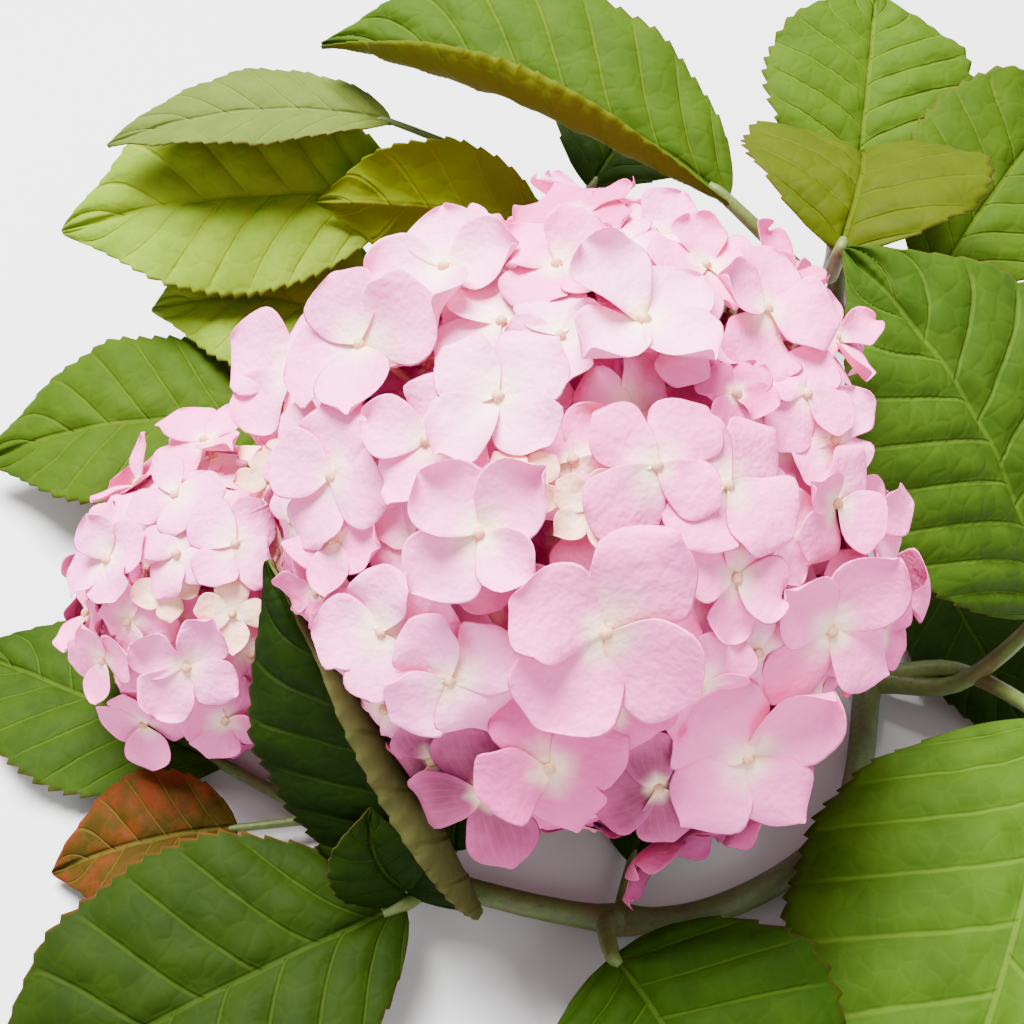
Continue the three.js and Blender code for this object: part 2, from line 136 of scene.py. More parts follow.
class Network:
    def __init__(self, tree):
        self.tree = tree

    def node(self, kind, settings, inputs):
        """A node of this type: its settings first, then the values or links of its sockets."""
        made = self.tree.nodes.new(kind)
        for name, value in settings.items():
            setattr(made, name, value)
        for key, value in inputs.items():
            if isinstance(value, Reading):
                value = value.socket
            if isinstance(value, bpy.types.NodeSocket):
                self.tree.links.new(value, made.inputs[key])
            else:
                made.inputs[key].default_value = value
        return made

    def step(self, kind, **inputs):
        """The first output of a Geometry Nodes step; its sockets' names have _ for a space."""
        inputs = {key.replace("_", " "): value for key, value in inputs.items()}
        return self.node("GeometryNode" + kind, {}, inputs).outputs[0]

    def maths(self, operation, *values):
        made = self.node("ShaderNodeMath", {"operation": operation}, dict(enumerate(values)))
        return Reading(self, made.outputs[0])

    def ramp(self, value, low, high):
        """0 at low, 1 at high, eased between; low may be the greater."""
        made = self.node(
            "ShaderNodeMapRange",
            {"interpolation_type": "SMOOTHSTEP"},
            {"Value": value, "From Min": low, "From Max": high},
        )
        return Reading(self, made.outputs["Result"])

    def mix(self, factor, a, b):
        """A mix of two colours."""
        made = self.node(
            "ShaderNodeMix", {"data_type": "RGBA"},
            {0: factor, 6: a if isinstance(a, bpy.types.NodeSocket) else (*a, 1),
             7: b if isinstance(b, bpy.types.NodeSocket) else (*b, 1)},
        )
        return made.outputs[2]

    def uv(self, name):
        place = self.node("ShaderNodeUVMap", {"uv_map": name}, {})
        parts = self.node("ShaderNodeSeparateXYZ", {}, {0: place.outputs[0]})
        return place.outputs[0], Reading(self, parts.outputs[0]), Reading(self, parts.outputs[1])

    def attribute(self, name, output="Fac"):
        made = self.node("ShaderNodeAttribute", {"attribute_name": name}, {})
        return made.outputs[output] if output == "Color" else Reading(self, made.outputs[output])

    def object_place(self):
        return self.node("ShaderNodeTexCoord", {}, {}).outputs["Object"]

    def noise(self, place, scale, detail, roughness=0.5):
        made = self.node(
            "ShaderNodeTexNoise", {},
            {"Vector": place, "Scale": scale, "Detail": detail, "Roughness": roughness},
        )
        return Reading(self, made.outputs["Fac"])

    def cell_edges(self, place, scale):
        """Distance from the edges of irregular cells."""
        made = self.node(
            "ShaderNodeTexVoronoi",
            {"feature": "DISTANCE_TO_EDGE", "voronoi_dimensions": "2D"},
            {"Vector": place, "Scale": scale},
        )
        return Reading(self, made.outputs["Distance"])

    def bump(self, height, distance, strength):
        made = self.node(
            "ShaderNodeBump", {}, {"Height": height, "Distance": distance, "Strength": strength}
        )
        return made.outputs[0]


def finish_material(name, build, **sockets):
    """A Principled material: build(net) gives what varies, and sockets the constants."""
    material = bpy.data.materials.new(name)
    material.use_nodes = True
    tree = material.node_tree
    tree.nodes.clear()
    net = Network(tree)
    inputs = {key.replace("_", " "): value for key, value in sockets.items()}
    inputs.update(build(net))
    shader = net.node("ShaderNodeBsdfPrincipled", {}, inputs)
    net.node("ShaderNodeOutputMaterial", {}, {"Surface": shader.outputs[0]})
    return material


# Meshes

def add_mesh(name, points, edges=(), faces=()):
    """points in millimetres; the object at the origin, its place in its mesh."""
    mesh = bpy.data.meshes.new(name)
    mesh.from_pydata([tuple(p) for p in metres(points)], edges, faces)
    made = bpy.data.objects.new(name, mesh)
    bpy.context.collection.objects.link(made)
    return made


def shade_smooth(mesh):
    mesh.polygons.foreach_set("use_smooth", [True] * len(mesh.polygons))


def mesh_object(name, points, faces, material):
    made = add_mesh(name, points, faces=[tuple(f) for f in faces])
    shade_smooth(made.data)
    made.data.materials.append(material)
    return made


def set_uv(mesh, name, corner_values):
    layer = mesh.uv_layers.new(name=name)
    layer.data.foreach_set("uv", np.asarray(corner_values, float).ravel())


def set_values(mesh, name, values, kind="FLOAT", domain="POINT"):
    layer = mesh.attributes.new(name, kind, domain)
    field = {"FLOAT": "value", "INT": "value", "FLOAT_VECTOR": "vector", "FLOAT_COLOR": "color"}[kind]
    layer.data.foreach_set(field, np.asarray(values).ravel())


def read(rows, field, width=1, kind=float):
    found = np.empty(len(rows) * width, kind)
    rows.foreach_get(field, found)
    return found


def points_of(mesh):
    """Vertices in design millimetres."""
    return read(mesh.vertices, "co", 3).reshape(-1, 3) / MM + MIDDLE


def set_points(mesh, points):
    mesh.vertices.foreach_set("co", metres(points).ravel())
    mesh.update()


def add_nodes_modifier(made, tree, values):
    """values: the tree's named inputs, each set by its socket's identifier."""
    modifier = made.modifiers.new(tree.name, "NODES")
    modifier.node_group = tree
    for item in tree.interface.items_tree:
        if item.in_out == "INPUT" and item.name in values:
            modifier[item.identifier] = values[item.name]


def make_plain(made):
    """The evaluated result as the object's own plain mesh, its modifiers removed."""
    graph = bpy.context.evaluated_depsgraph_get()
    graph.update()
    mesh = bpy.data.meshes.new_from_object(
        made.evaluated_get(graph), preserve_all_data_layers=True, depsgraph=graph
    )
    made.modifiers.clear()
    made.data = mesh
    return made


def shell_faces(rows, columns):
    """Faces of an upper and a lower grid of points and the rim between them, part by part."""
    top = np.arange(rows * columns).reshape(rows, columns)
    low = top + rows * columns
    parts = (
        (top[:-1, :-1], top[:-1, 1:], top[1:, 1:], top[1:, :-1]),
        (low[:-1, :-1], low[1:, :-1], low[1:, 1:], low[:-1, 1:]),
        (top[:-1, 0], top[1:, 0], low[1:, 0], low[:-1, 0]),
        (top[:-1, -1], low[:-1, -1], low[1:, -1], top[1:, -1]),
        (top[0, :-1], low[0, :-1], low[0, 1:], top[0, 1:]),
        (top[-1, :-1], top[-1, 1:], low[-1, 1:], low[-1, :-1]),
    )
    return [np.stack([corner.ravel() for corner in part], 1) for part in parts]


def search_tree(points, faces):
    return BVHTree.FromPolygons([tuple(p) for p in metres(points)], faces)


def declare(piece, slot, *nodes):
    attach(piece, "root")
    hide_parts(*nodes)


# Geometry Nodes: a round shoot along each path, and petals or buds set on points

KNOBS_PER_METRE = 260.0


def start_tree(name, inputs):
    tree = bpy.data.node_groups.new(name, "GeometryNodeTree")
    tree.interface.new_socket("Geometry", in_out="INPUT", socket_type="NodeSocketGeometry")
    for label, kind in inputs:
        tree.interface.new_socket(label, in_out="INPUT", socket_type=kind)
    tree.interface.new_socket("Geometry", in_out="OUTPUT", socket_type="NodeSocketGeometry")
    net = Network(tree)
    return tree, net, net.node("NodeGroupInput", {}, {}).outputs


def named(net, name, kind="FLOAT"):
    return net.node(
        "GeometryNodeInputNamedAttribute", {"data_type": kind}, {"Name": name}
    ).outputs["Attribute"]


def end_tree(net, geometry, material):
    whole = net.step("RealizeInstances", Geometry=geometry)
    finished = net.step("SetMaterial", Geometry=whole, Material=material)
    net.node("NodeGroupOutput", {}, {0: finished})


def shoot_tree():
    """Tubes along wire paths, each point's radius an attribute."""
    tree, net, given = start_tree(
        "shoots", [("Sides", "NodeSocketInt"), ("Knobbliness", "NodeSocketFloat"),
                   ("Material", "NodeSocketMaterial")],
    )
    curve = net.step("MeshToCurve", Mesh=given["Geometry"])
    ring = net.step("CurvePrimitiveCircle", Resolution=given["Sides"], Radius=1.0)
    tube = net.step("CurveToMesh", Curve=curve, Profile_Curve=ring, Scale=named(net, "radius"),
                    Fill_Caps=True)
    noise = net.node("ShaderNodeTexNoise", {}, {"Scale": KNOBS_PER_METRE, "Detail": 2.0})
    height = net.maths("MULTIPLY_ADD", noise.outputs["Fac"], 2.0, -1.0)
    offset = net.node(
        "ShaderNodeVectorMath", {"operation": "SCALE"},
        {0: net.step("InputNormal"), "Scale": height * given["Knobbliness"]},
    )
    moved = net.step("SetPosition", Geometry=tube, Offset=offset.outputs[0])
    end_tree(net, net.step("SetShadeSmooth", Geometry=moved), given["Material"])
    return tree


def scatter_tree():
    """One of several small shapes on each point, turned and stretched by the point's values."""
    tree, net, given = start_tree(
        "florets", [("Kinds", "NodeSocketCollection"), ("Size", "NodeSocketFloat"),
                    ("Material", "NodeSocketMaterial")],
    )
    kinds = net.step("CollectionInfo", Collection=given["Kinds"], Separate_Children=True,
                     Reset_Children=True)
    turn = net.node("FunctionNodeEulerToRotation", {}, {0: named(net, "turn", "FLOAT_VECTOR")})
    stretch = net.node(
        "ShaderNodeVectorMath", {"operation": "SCALE"},
        {0: named(net, "stretch", "FLOAT_VECTOR"), "Scale": given["Size"]},
    )
    set_out = net.step(
        "InstanceOnPoints", Points=given["Geometry"], Instance=kinds, Pick_Instance=True,
        Instance_Index=named(net, "kind", "INT"), Rotation=turn.outputs[0], Scale=stretch.outputs[0],
    )
    end_tree(net, set_out, given["Material"])
    return tree


SHOOT_TREE = shoot_tree()
SCATTER_TREE = scatter_tree()


def grow_shoots(name, paths, sides, knobbliness, material):
    """paths: [(points, radii)], each a row of places in millimetres."""
    points = np.concatenate([p for p, _ in paths])
    edges = []
    first = 0
    for path, _ in paths:
        edges += [(first + i, first + i + 1) for i in range(len(path) - 1)]
        first += len(path)
    made = add_mesh(name, points, edges)
    set_values(made.data, "radius", np.concatenate([r for _, r in paths]) * MM)
    add_nodes_modifier(
        made, SHOOT_TREE, {"Sides": sides, "Knobbliness": knobbliness * MM, "Material": material}
    )
    return make_plain(made)


def scatter(name, points, turns, stretches, kinds, extra, collection, material):
    made = add_mesh(name, points)
    values = {"turn": (turns, "FLOAT_VECTOR"), "stretch": (stretches, "FLOAT_VECTOR"),
              "kind": (np.array(kinds, np.int32), "INT"), **extra}
    for label, (given, kind) in values.items():
        set_values(made.data, label, given, kind)
    add_nodes_modifier(
        made, SCATTER_TREE, {"Kinds": collection, "Size": MM, "Material": material}
    )
    return make_plain(made)


# Stems

NODE_SWELL = 1.3
NODE_LENGTH = 0.12
STEM_STEPS = 14
WOOD_RELIEF = 0.35
SHOOT_RELIEF = 0.12

# Name, knots, first and last radius, and the knots where leaves grow
STEMS = [
    ("main_stem", [[58, 232, 5.8], [74, 196, 6.4], [86, 150, 7], [92, 92, 8], [101, 48, 8.5],
                   [106, 2, 7]], (6, 4.6), (2, 3, 4, 5)),
    ("large_bloom_shoot", [[101, 48, 8.5], [84, 50, 14], [68, 46, 25], [49.5, 37.7, 38.8]],
     (4.2, 3.7), (2,)),
    ("front_leafy_shoot", [[106, 2, 7], [92, -42, 6.5], [62, -66, 7.5], [28, -73, 9],
                           [-22, -62, 11], [-52, -44, 10]], (4, 2.8), (3, 4, 5)),
    ("small_bloom_shoot", [[92, 92, 8], [52, 112, 20], [2, 112, 27], [-40, 84, 21],
                           [-62.2, 32.6, 30.2]], (4, 3.1), (1, 2, 3)),
    ("right_back_leafy_shoot", [[92, 92, 8], [96, 90, 40], [98, 94, 70], [97, 101, 92]],
     (3.9, 2.6), (1, 2, 3)),
    ("left_back_leafy_shoot", [[52, 112, 20], [34, 124, 46], [14, 138, 68], [-8, 148, 84]],
     (3.3, 2.2), (1, 2, 3)),
]


def curve_at(knots, shares):
    """Places along the smooth curve that passes through the knots."""
    knots = np.asarray(knots, float)
    ends = np.vstack([2 * knots[0] - knots[1], knots, 2 * knots[-1] - knots[-2]])
    spans = len(knots) - 1
    spot = np.clip(np.asarray(shares, float) * spans, 0, spans - 1e-9)
    first = spot.astype(int)
    w = (spot - first)[:, None]
    a, b, c, d = (ends[first + k] for k in range(4))
    slope_b = 0.5 * (c - a)
    slope_c = 0.5 * (d - b)
    return (
        (2 * w**3 - 3 * w**2 + 1) * b + (w**3 - 2 * w**2 + w) * slope_b
        + (-2 * w**3 + 3 * w**2) * c + (w**3 - w**2) * slope_c
    )


def stem_path(knots, radii, swollen, relief):
    spans = len(knots) - 1
    shares = np.linspace(0, 1, spans * STEM_STEPS + 1)
    spot = shares * spans
    swell = np.ones_like(spot)
    for knot in swollen:
        swell += (NODE_SWELL - 1) * bell((spot - knot) / NODE_LENGTH)
    radius = lerp(radii[0], radii[1], shares) * swell
    path = curve_at(knots, shares)
    path[:, 2] = np.maximum(path[:, 2], radius + relief)
    return path, radius


# Leaves

CROSS_STEPS = 6
TEETH = 25
LEAST_TEETH = 12
TOOTHED_LENGTH = 120
TOOTH_STEPS = (0.0, 0.3, 0.6, 0.85)
TOOTH_DEPTH = 1.9
COLUMNS = 41
LEAF_HALF = 0.22
VEIN_RISE = 0.2
VEIN_BEND = 0.85
TIP_SHARE = 0.994
BLADE_LEAN, BLADE_ROUNDING = 0.86, 0.78
TIP_TAPER = 0.3
LEAST_BREADTH = 0.012
ROLL_GAIN = 1.6
CURLED = 60
CURL_EVENNESS = 0.85

# Relief of a leaf as wide as FULL_WIDTH: heights and depths, and how wide each form is
FULL_WIDTH = 80
QUILT_RISE, QUILT_WIDTH, ROLLED_QUILT = 1.5, 0.16, 0.35
GROOVE_DEPTH, GROOVE_WIDTH = 0.55, 1.1
RIPPLE_RISE, RIPPLES = 1.5, (2.3, 5.1)
LUMP_RISE, LUMPS_ALONG, LUMPS_ACROSS = 0.5, 9.0, 0.55
RIB_DEPTH, RIB_WIDTH = 1.5, 0.9
SIDE_RIB_DEPTH, SIDE_RIB_WIDTH = 0.5, 0.05

# Where the upper and the lower face lie on the bake's map
UPPER_PAGE, LOWER_PAGE, PAGE_HALF = 0.25, 0.745, 0.235
PAGE_FOOT, PAGE_LENGTH = 0.1, 0.885
RIM_ACROSS, RIM_UP = 0.006, 0.004

# Leaf colours, as the share of light that comes back
BROWN_EDGE = (0.07, 0.035, 0.01)
RED_EDGE = (0.11, 0.022, 0.008)
GREEN = dict(upper=(0.020, 0.042, 0.0026), deep=(0.011, 0.027, 0.0018),
             vein=(0.039, 0.07, 0.006), under=(0.045, 0.06, 0.01), edge=BROWN_EDGE, blotch=0.0)
# DARK is partly a darker green of the leaves' own and partly painted shade, for leaves that lie in
# shadow under and between the blooms
DARK = dict(GREEN, upper=(0.009, 0.022, 0.001), deep=(0.0045, 0.013, 0.0008),
            vein=(0.02, 0.038, 0.003), under=(0.045, 0.048, 0.01))
YELLOW_GREEN = dict(GREEN, upper=(0.052, 0.07, 0.0015), deep=(0.036, 0.054, 0.0012),
                    vein=(0.07, 0.088, 0.003), under=(0.055, 0.066, 0.003))
LIGHT = dict(GREEN, upper=(0.032, 0.062, 0.0026), deep=(0.021, 0.044, 0.002),
             vein=(0.055, 0.085, 0.005), under=(0.058, 0.07, 0.003))
PALE = dict(GREEN, upper=(0.07, 0.1, 0.014), deep=(0.05, 0.075, 0.01),
            vein=(0.105, 0.135, 0.028), under=(0.07, 0.085, 0.01))
BRIGHT = dict(YELLOW_GREEN, upper=(0.12, 0.19, 0.009), deep=(0.085, 0.145, 0.006),
              vein=(0.15, 0.2, 0.008))
AUTUMN = dict(GREEN, upper=(0.036, 0.022, 0.002), deep=(0.022, 0.014, 0.0015),
              vein=(0.075, 0.062, 0.01), under=(0.055, 0.036, 0.008), edge=RED_EDGE, blotch=0.85)
OLIVE = dict(GREEN, upper=(0.07, 0.085, 0.002), deep=(0.05, 0.06, 0.002),
             vein=(0.11, 0.13, 0.008), under=(0.075, 0.105, 0.002))


def with_painted_light(tint, share):
    """The same tint made lighter or darker for one leaf: partly the leaf's own tone, partly painted
    light and shade that evens out how much light the leaf gets where it lies.
    """
    return dict(tint, **{k: tuple(share * c for c in tint[k]) for k in ("upper", "deep", "vein")})


def leaf(name, stem, neck, tip, bow, up, width, fold, roll, pairs, tint, slot="leaf_green", **more):
    return dict(name=name, stem=stem, neck=neck, tip=tip, bow=bow, up=up, width=width, fold=fold,
                roll=roll, pairs=pairs, tint=dict(tint, **more), slot=slot)


# Name, where the stalk leaves the shoot, the blade's neck and tip, how far its middle line bows,
# the way its face looks, width, fold and each side's roll in degrees, pairs of side veins, tint,
# and the slot of a leaf that isn't plain green
# The share given with a leaf's tint is partly painted light and shade, setting how light the leaf comes
# out under the lamps where it lies
LEAVES = [
    leaf("leaf_front_right", [106, 2, 7], [143, -28, 34], [84, -152, 0.8], [10, -2, 26],
         [-0.3, -0.1, 0.95], 112, 10, [12, 18], 8, with_painted_light(GREEN, 1.9)),
    leaf("leaf_right", [106, 2, 7], [143, -5, 50], [85, 59, 122], [14, -4, 14],
         [0.3, -0.5, 0.8], 90, 8, [14, 14], 9, with_painted_light(GREEN, 1.4)),
    leaf("leaf_back_heart", [97, 101, 92], [86, 63, 118], [106, 134, 97], [2, -6, 28],
         [-0.14, -0.5, 0.84], 68, 16, [14, 14], 6, with_painted_light(YELLOW_GREEN, 0.8),
         "leaf_yellow_green"),
    leaf("leaf_back_upright", [97, 101, 92], [108, 130, 84], [120, 199, 115], [0, 4, 14],
         [0, -0.6, 0.8], 68, 10, [14, 14], 8, with_painted_light(LIGHT, 1.25), "leaf_yellow_green"),
    leaf("leaf_back_left_long", [98, 94, 70], [65, 114, 96], [-60.5, 168, 115], [2, 6, 26],
         [0.1, -0.35, 0.93], 72, 12, [-78, 14], 9, LIGHT),
    leaf("leaf_back_left_under", [14, 138, 68], [10, 128, 76], [-62, 132, 82], [0, -6, 10],
         [0, 0.85, -0.3], 44, 10, [20, 20], 6, OLIVE, "leaf_yellow_green"),
    leaf("leaf_back_left_pale", [-8, 148, 84], [-38, 152, 98], [-130, 150, 90], [0, 4, 14],
         [0, -0.05, 1], 38, 14, [14, 14], 8, PALE, "leaf_yellow_green"),
    leaf("leaf_front_left", [-22, -62, 11], [-27, -73, 19], [-128, -120, 0.8], [-6, -10, 24],
         [-0.1, -0.25, 0.96], 78, 10, [16, 16], 8, with_painted_light(GREEN, 0.6), edge=RED_EDGE),
    leaf("leaf_between_blooms", [-22, -62, 11], [-9, -74, 17], [-58, -20, 94], [0, -14, 9],
         [-0.5, -0.6, 0.6], 62, 10, [6, -78], 8, with_painted_light(DARK, 0.75), under=(0.064, 0.064, 0.019)),
    leaf("leaf_young_front", [-22, -62, 11], [-26, -70, 20], [-34, -62, 50], [-6, -8, 6],
         [0.2, -0.8, 0.5], 26, 22, [30, 30], 6, DARK),
    leaf("leaf_young_dark", [-22, -62, 11], [-15, -60, 22], [-12, -46, 40], [-2, -10, 6],
         [0.3, -0.8, 0.5], 22, 22, [30, 30], 6, DARK),
    leaf("leaf_front_middle", [28, -73, 9], [24.5, -88, 23], [54, -140, 0.8], [4, -2, 20],
         [-0.1, -0.12, 0.98], 82, 12, [16, 16], 7, with_painted_light(DARK, 2.1)),
    leaf("leaf_under_bloom", [28, -73, 9], [32, -56, 7], [60, 10, 3], [0, 0, 2],
         [0, 0, 1], 44, 4, [4, 4], 7, DARK),
    leaf("leaf_back_right_pale", [98, 94, 70], [124, 91, 80], [179, 157, 106], [0, 0, 18],
         [0.1, -0.5, 0.86], 62, 10, [14, 14], 8, LIGHT),
    leaf("leaf_right_low", [101, 48, 8.5], [124, 56, 14], [152, -26, 0.8], [0, 0, 10],
         [0, 0, 1], 46, 8, [12, 12], 8, DARK),
    leaf("leaf_left_green", [-52, -44, 10], [-82, -26, 6], [-165, 14, 4], [0, 0, 8],
         [0, 0, 1], 58, 8, [10, 10], 8, GREEN),
    leaf("leaf_left_autumn", [-52, -44, 10], [-74, -48, 11], [-124, -58, 4], [0, 0, 10],
         [0, -0.1, 1], 40, 12, [14, 14], 7, AUTUMN, "leaf_autumn"),
    leaf("leaf_far_left", [-40, 84, 21], [-72, 88, 24], [-176, 84, 12], [0, 0, 24],
         [0, -0.2, 0.98], 66, 10, [14, 14], 8, LIGHT),
    leaf("leaf_yellow_left", [-8, 148, 84], [-34, 142, 76], [-150, 142, 62], [0, 2, 14],
         [0, -0.5, 0.86], 70, 10, [14, 14], 8, BRIGHT, "leaf_yellow_green"),
    leaf("leaf_yellow_low", [2, 112, 27], [-34, 116, 38], [-122, 128, 40], [0, 0, 24],
         [0, -0.35, 0.93], 58, 10, [14, 14], 8, BRIGHT, "leaf_yellow_green"),
    leaf("leaf_back_dark", [14, 138, 68], [26, 150, 74], [66, 208, 66], [0, 4, 22],
         [0, -0.3, 0.95], 60, 12, [14, 14], 8, DARK),
]


def blade_profile(t):
    t = np.clip(t, 0, 1)
    rounded = np.maximum(np.sin(np.pi * t**BLADE_LEAN), 0) ** BLADE_ROUNDING
    return np.maximum(rounded * (1 - TIP_TAPER * smoothstep(t, 0.7, 1)), LEAST_BREADTH)


def blade_frame(leaf, t):
    neck, tip = np.array(leaf["neck"], float), np.array(leaf["tip"], float)
    bend = (neck + tip) / 2 + np.array(leaf["bow"], float)
    t = np.asarray(t, float)[..., None]
    centre = (1 - t) ** 2 * neck + 2 * t * (1 - t) * bend + t**2 * tip
    ahead = unit(2 * (1 - t) * (bend - neck) + 2 * t * (tip - bend))
    up = np.array(leaf["up"], float)
    up = unit(up - (ahead * up).sum(-1, keepdims=True) * ahead)
    return centre, ahead, up, np.cross(ahead, up)


def blade_points(leaf, t, side, half_width):
    """The source's middle surface: t from neck to tip, side from -1 to 1."""
    centre, _, up, right = blade_frame(leaf, t)
    roll = np.radians(np.where(side < 0, leaf["roll"][0], leaf["roll"][1]))
    reach = np.abs(side) * half_width
    out = np.zeros_like(reach)
    rise = np.zeros_like(reach)
    curled = np.where(np.abs(roll) > math.radians(CURLED), 1.0, 0.0)
    for i in range(CROSS_STEPS):
        share = ((i + 0.5) / CROSS_STEPS) * reach * 2 / leaf["width"]
        share = lerp(share, ((i + 0.5) / CROSS_STEPS) * np.abs(side), curled * CURL_EVENNESS)
        slope = math.radians(leaf["fold"]) - roll * share**1.6 * ROLL_GAIN
        out += np.cos(slope) * reach / CROSS_STEPS
        rise += np.sin(slope) * reach / CROSS_STEPS
    return centre + right * (np.sign(side) * out)[..., None] + up * rise[..., None]


def vein_phase(t, away, side, pairs):
    return (t - VEIN_RISE * away**VEIN_BEND) * pairs + 0.5 * (side > 0)


def grid_normals(grid):
    along = np.gradient(grid, axis=0)
    across = np.gradient(grid, axis=1)
    return unit(np.cross(across, along))


def leaf_finish(leaf):
    tint = leaf["tint"]

    def build(net):
        _, across, along = net.uv("Blade")
        real, real_x, _ = net.uv("BladeSize")
        side = net.maths("GREATER_THAN", across, 0.5)
        away = net.maths("ABSOLUTE", across - 0.5) * 2
        phase = (along - away**VEIN_BEND * VEIN_RISE) * leaf["pairs"] + side * 0.5
        near = net.maths("PINGPONG", phase, 0.5)
        wobble = net.noise(real, 1.6, 2) - 0.5
        near = near + wobble * 0.05
        lateral = net.ramp(near, 0.075, 0.012) * net.ramp(away, 1.05, 0.75)
        from_middle = net.maths("ABSOLUTE", real_x)
        midrib = net.ramp(from_middle, 0.13, 0.04) * net.ramp(along, 1.02, 0.8)
        warped = net.node(
            "ShaderNodeVectorMath", {"operation": "MULTIPLY_ADD"},
            {0: net.node("ShaderNodeTexNoise", {}, {"Vector": real, "Scale": 2.4, "Detail": 1.0}
                         ).outputs["Color"], 1: (0.22, 0.22, 0.0), 2: real},
        ).outputs[0]
        cells = net.cell_edges(warped, 1.7)
        ladder = net.ramp(cells, 0.09, 0.015)
        veins = net.maths("MAXIMUM", net.maths("MAXIMUM", lateral, midrib), ladder * 0.15)
        under = net.attribute("under")
        mottle = net.noise(real, 0.7, 2, 0.6)
        colour = net.mix(net.ramp(mottle, 0.36, 0.66) * 0.55, tint["upper"], tint["deep"])
        if tint["blotch"]:
            patches = net.ramp(net.noise(real, 0.5, 5, 0.65) + away * 0.16, 0.5, 0.68)
            colour = net.mix(patches * tint["blotch"], colour, (0.1, 0.017, 0.004))
            spots = net.ramp(net.noise(real, 2.4, 3), 0.62, 0.72)
            colour = net.mix(spots * 0.6, colour, (0.04, 0.015, 0.006))
        colour = net.mix(veins * 0.55, colour, tint["vein"])
        margin = net.ramp(away, 0.965, 1.0)
        colour = net.mix(margin * 0.5, colour, tint["edge"])
        back = net.mix(veins * 0.5, tint["under"], tint["vein"])
        colour = net.mix(under, colour, back)
        pillow = net.ramp(cells, -0.05, 0.26) * 0.26
        height = pillow - lateral * 0.7 - midrib * 0.7
        rough = 0.6 + under * 0.2 + mottle * 0.1
        return {
            "Base Color": colour,
            "Roughness": rough,
            "Normal": net.bump(height, 0.0007, 0.7),
        }

    return finish_material(leaf["name"], build, Specular_IOR_Level=0.04)


def leaf_grid(leaf, length):
    """Places along and across the blade, a tooth to every few rows, and its half width there."""
    teeth = max(LEAST_TEETH, round(TEETH * min(1, length / TOOTHED_LENGTH)))
    rows = [(k + f) / teeth for k in range(teeth) for f in TOOTH_STEPS]
    tooth = np.array([f / TOOTH_STEPS[-1] for _ in range(teeth) for f in TOOTH_STEPS] + [0])
    t = np.array(rows + [1.0]) * TIP_SHARE
    tt, ss = np.meshgrid(t, np.linspace(-1, 1, COLUMNS), indexing="ij")
    half = leaf["width"] / 2
    depth = np.clip(TOOTH_DEPTH / half, 0.02, 0.06)
    fade = smoothstep(tt, 0.02, 0.12) * (1 - smoothstep(tt, 0.93, 1.0))
    notch = 1 + depth * (tooth[:, None] - 0.6) * np.abs(ss)**8 * fade
    return tt, ss, half * blade_profile(tt) * notch


def leaf_relief(leaf, tt, ss, offset_x):
    """How far the middle surface rises, and how far the lower face is under it."""
    size = np.clip(leaf["width"] / FULL_WIDTH, 0.35, 1.2)
    away = np.abs(ss)
    near = np.abs((vein_phase(tt, away, ss, leaf["pairs"]) + 0.5) % 1 - 0.5)
    quilt = QUILT_RISE * size * (1 - np.exp(-((near / QUILT_WIDTH) ** 1.5)))
    quilt *= (1 - bell(away / 0.1)) * (1 - 0.75 * away**5) * smoothstep(tt, 0.0, 0.1)
    rolled = np.abs(np.where(ss < 0, leaf["roll"][0], leaf["roll"][1])) > CURLED
    quilt *= np.where(rolled, ROLLED_QUILT, 1.0)
    groove = GROOVE_DEPTH * size * bell(offset_x / (GROOVE_WIDTH * size))
    rng = np.random.default_rng(sum(ord(c) for c in leaf["name"]))
    a, b, c = rng.uniform(0, 2 * np.pi, 3)
    long_wave, short_wave = (2 * np.pi * count * tt for count in RIPPLES)
    ripple = RIPPLE_RISE * size * away**2.5 * (
        np.sin(long_wave + a + 1.7 * (ss > 0)) + 0.5 * np.sin(short_wave + b)
    ) * smoothstep(tt, 0.05, 0.25) * (1 - 0.6 * smoothstep(tt, 0.8, 1))
    lumps = (LUMP_RISE * size * np.sin(LUMPS_ACROSS * offset_x + c)
             * np.sin(LUMPS_ALONG * np.pi * tt + a))
    rib = RIB_DEPTH * size * (1 - 0.75 * tt) * bell(offset_x / (RIB_WIDTH * size))
    side_rib = SIDE_RIB_DEPTH * size * bell(near / SIDE_RIB_WIDTH) * (1 - away)
    return quilt - groove + ripple + lumps * (1 - away), LEAF_HALF + rib + side_rib


def set_blade_maps(mesh, tt, ss, offset_x, length):
    """The maps that the finish and the bake read; rim faces get a sliver of their own."""
    rows, columns = tt.shape
    corner = read(mesh.loops, "vertex_index", kind=int)
    along, side, offset = (np.tile(v.ravel(), 2)[corner] for v in (tt, ss, offset_x))
    sheet = 4 * (rows - 1) * (columns - 1)
    part = np.repeat([0, 1, 2], [sheet, sheet, len(corner) - 2 * sheet])
    rim_low = (part == 2) & (corner >= rows * columns)
    set_uv(mesh, "Blade", np.stack([side * 0.5 + 0.5, along], 1))
    set_uv(mesh, "BladeSize", np.stack([offset, along * length], 1) * 0.1)
    across = np.where(part == 1, LOWER_PAGE, UPPER_PAGE) + side * PAGE_HALF
    across += np.where(rim_low, np.sign(side) * RIM_ACROSS, 0)
    up = PAGE_FOOT + along * PAGE_LENGTH + np.where(rim_low, (along > 0.5) * RIM_UP, 0)
    set_uv(mesh, "OFBake", np.stack([across, up], 1))
    set_values(mesh, "under", np.repeat([0.0, 1.0], rows * columns))


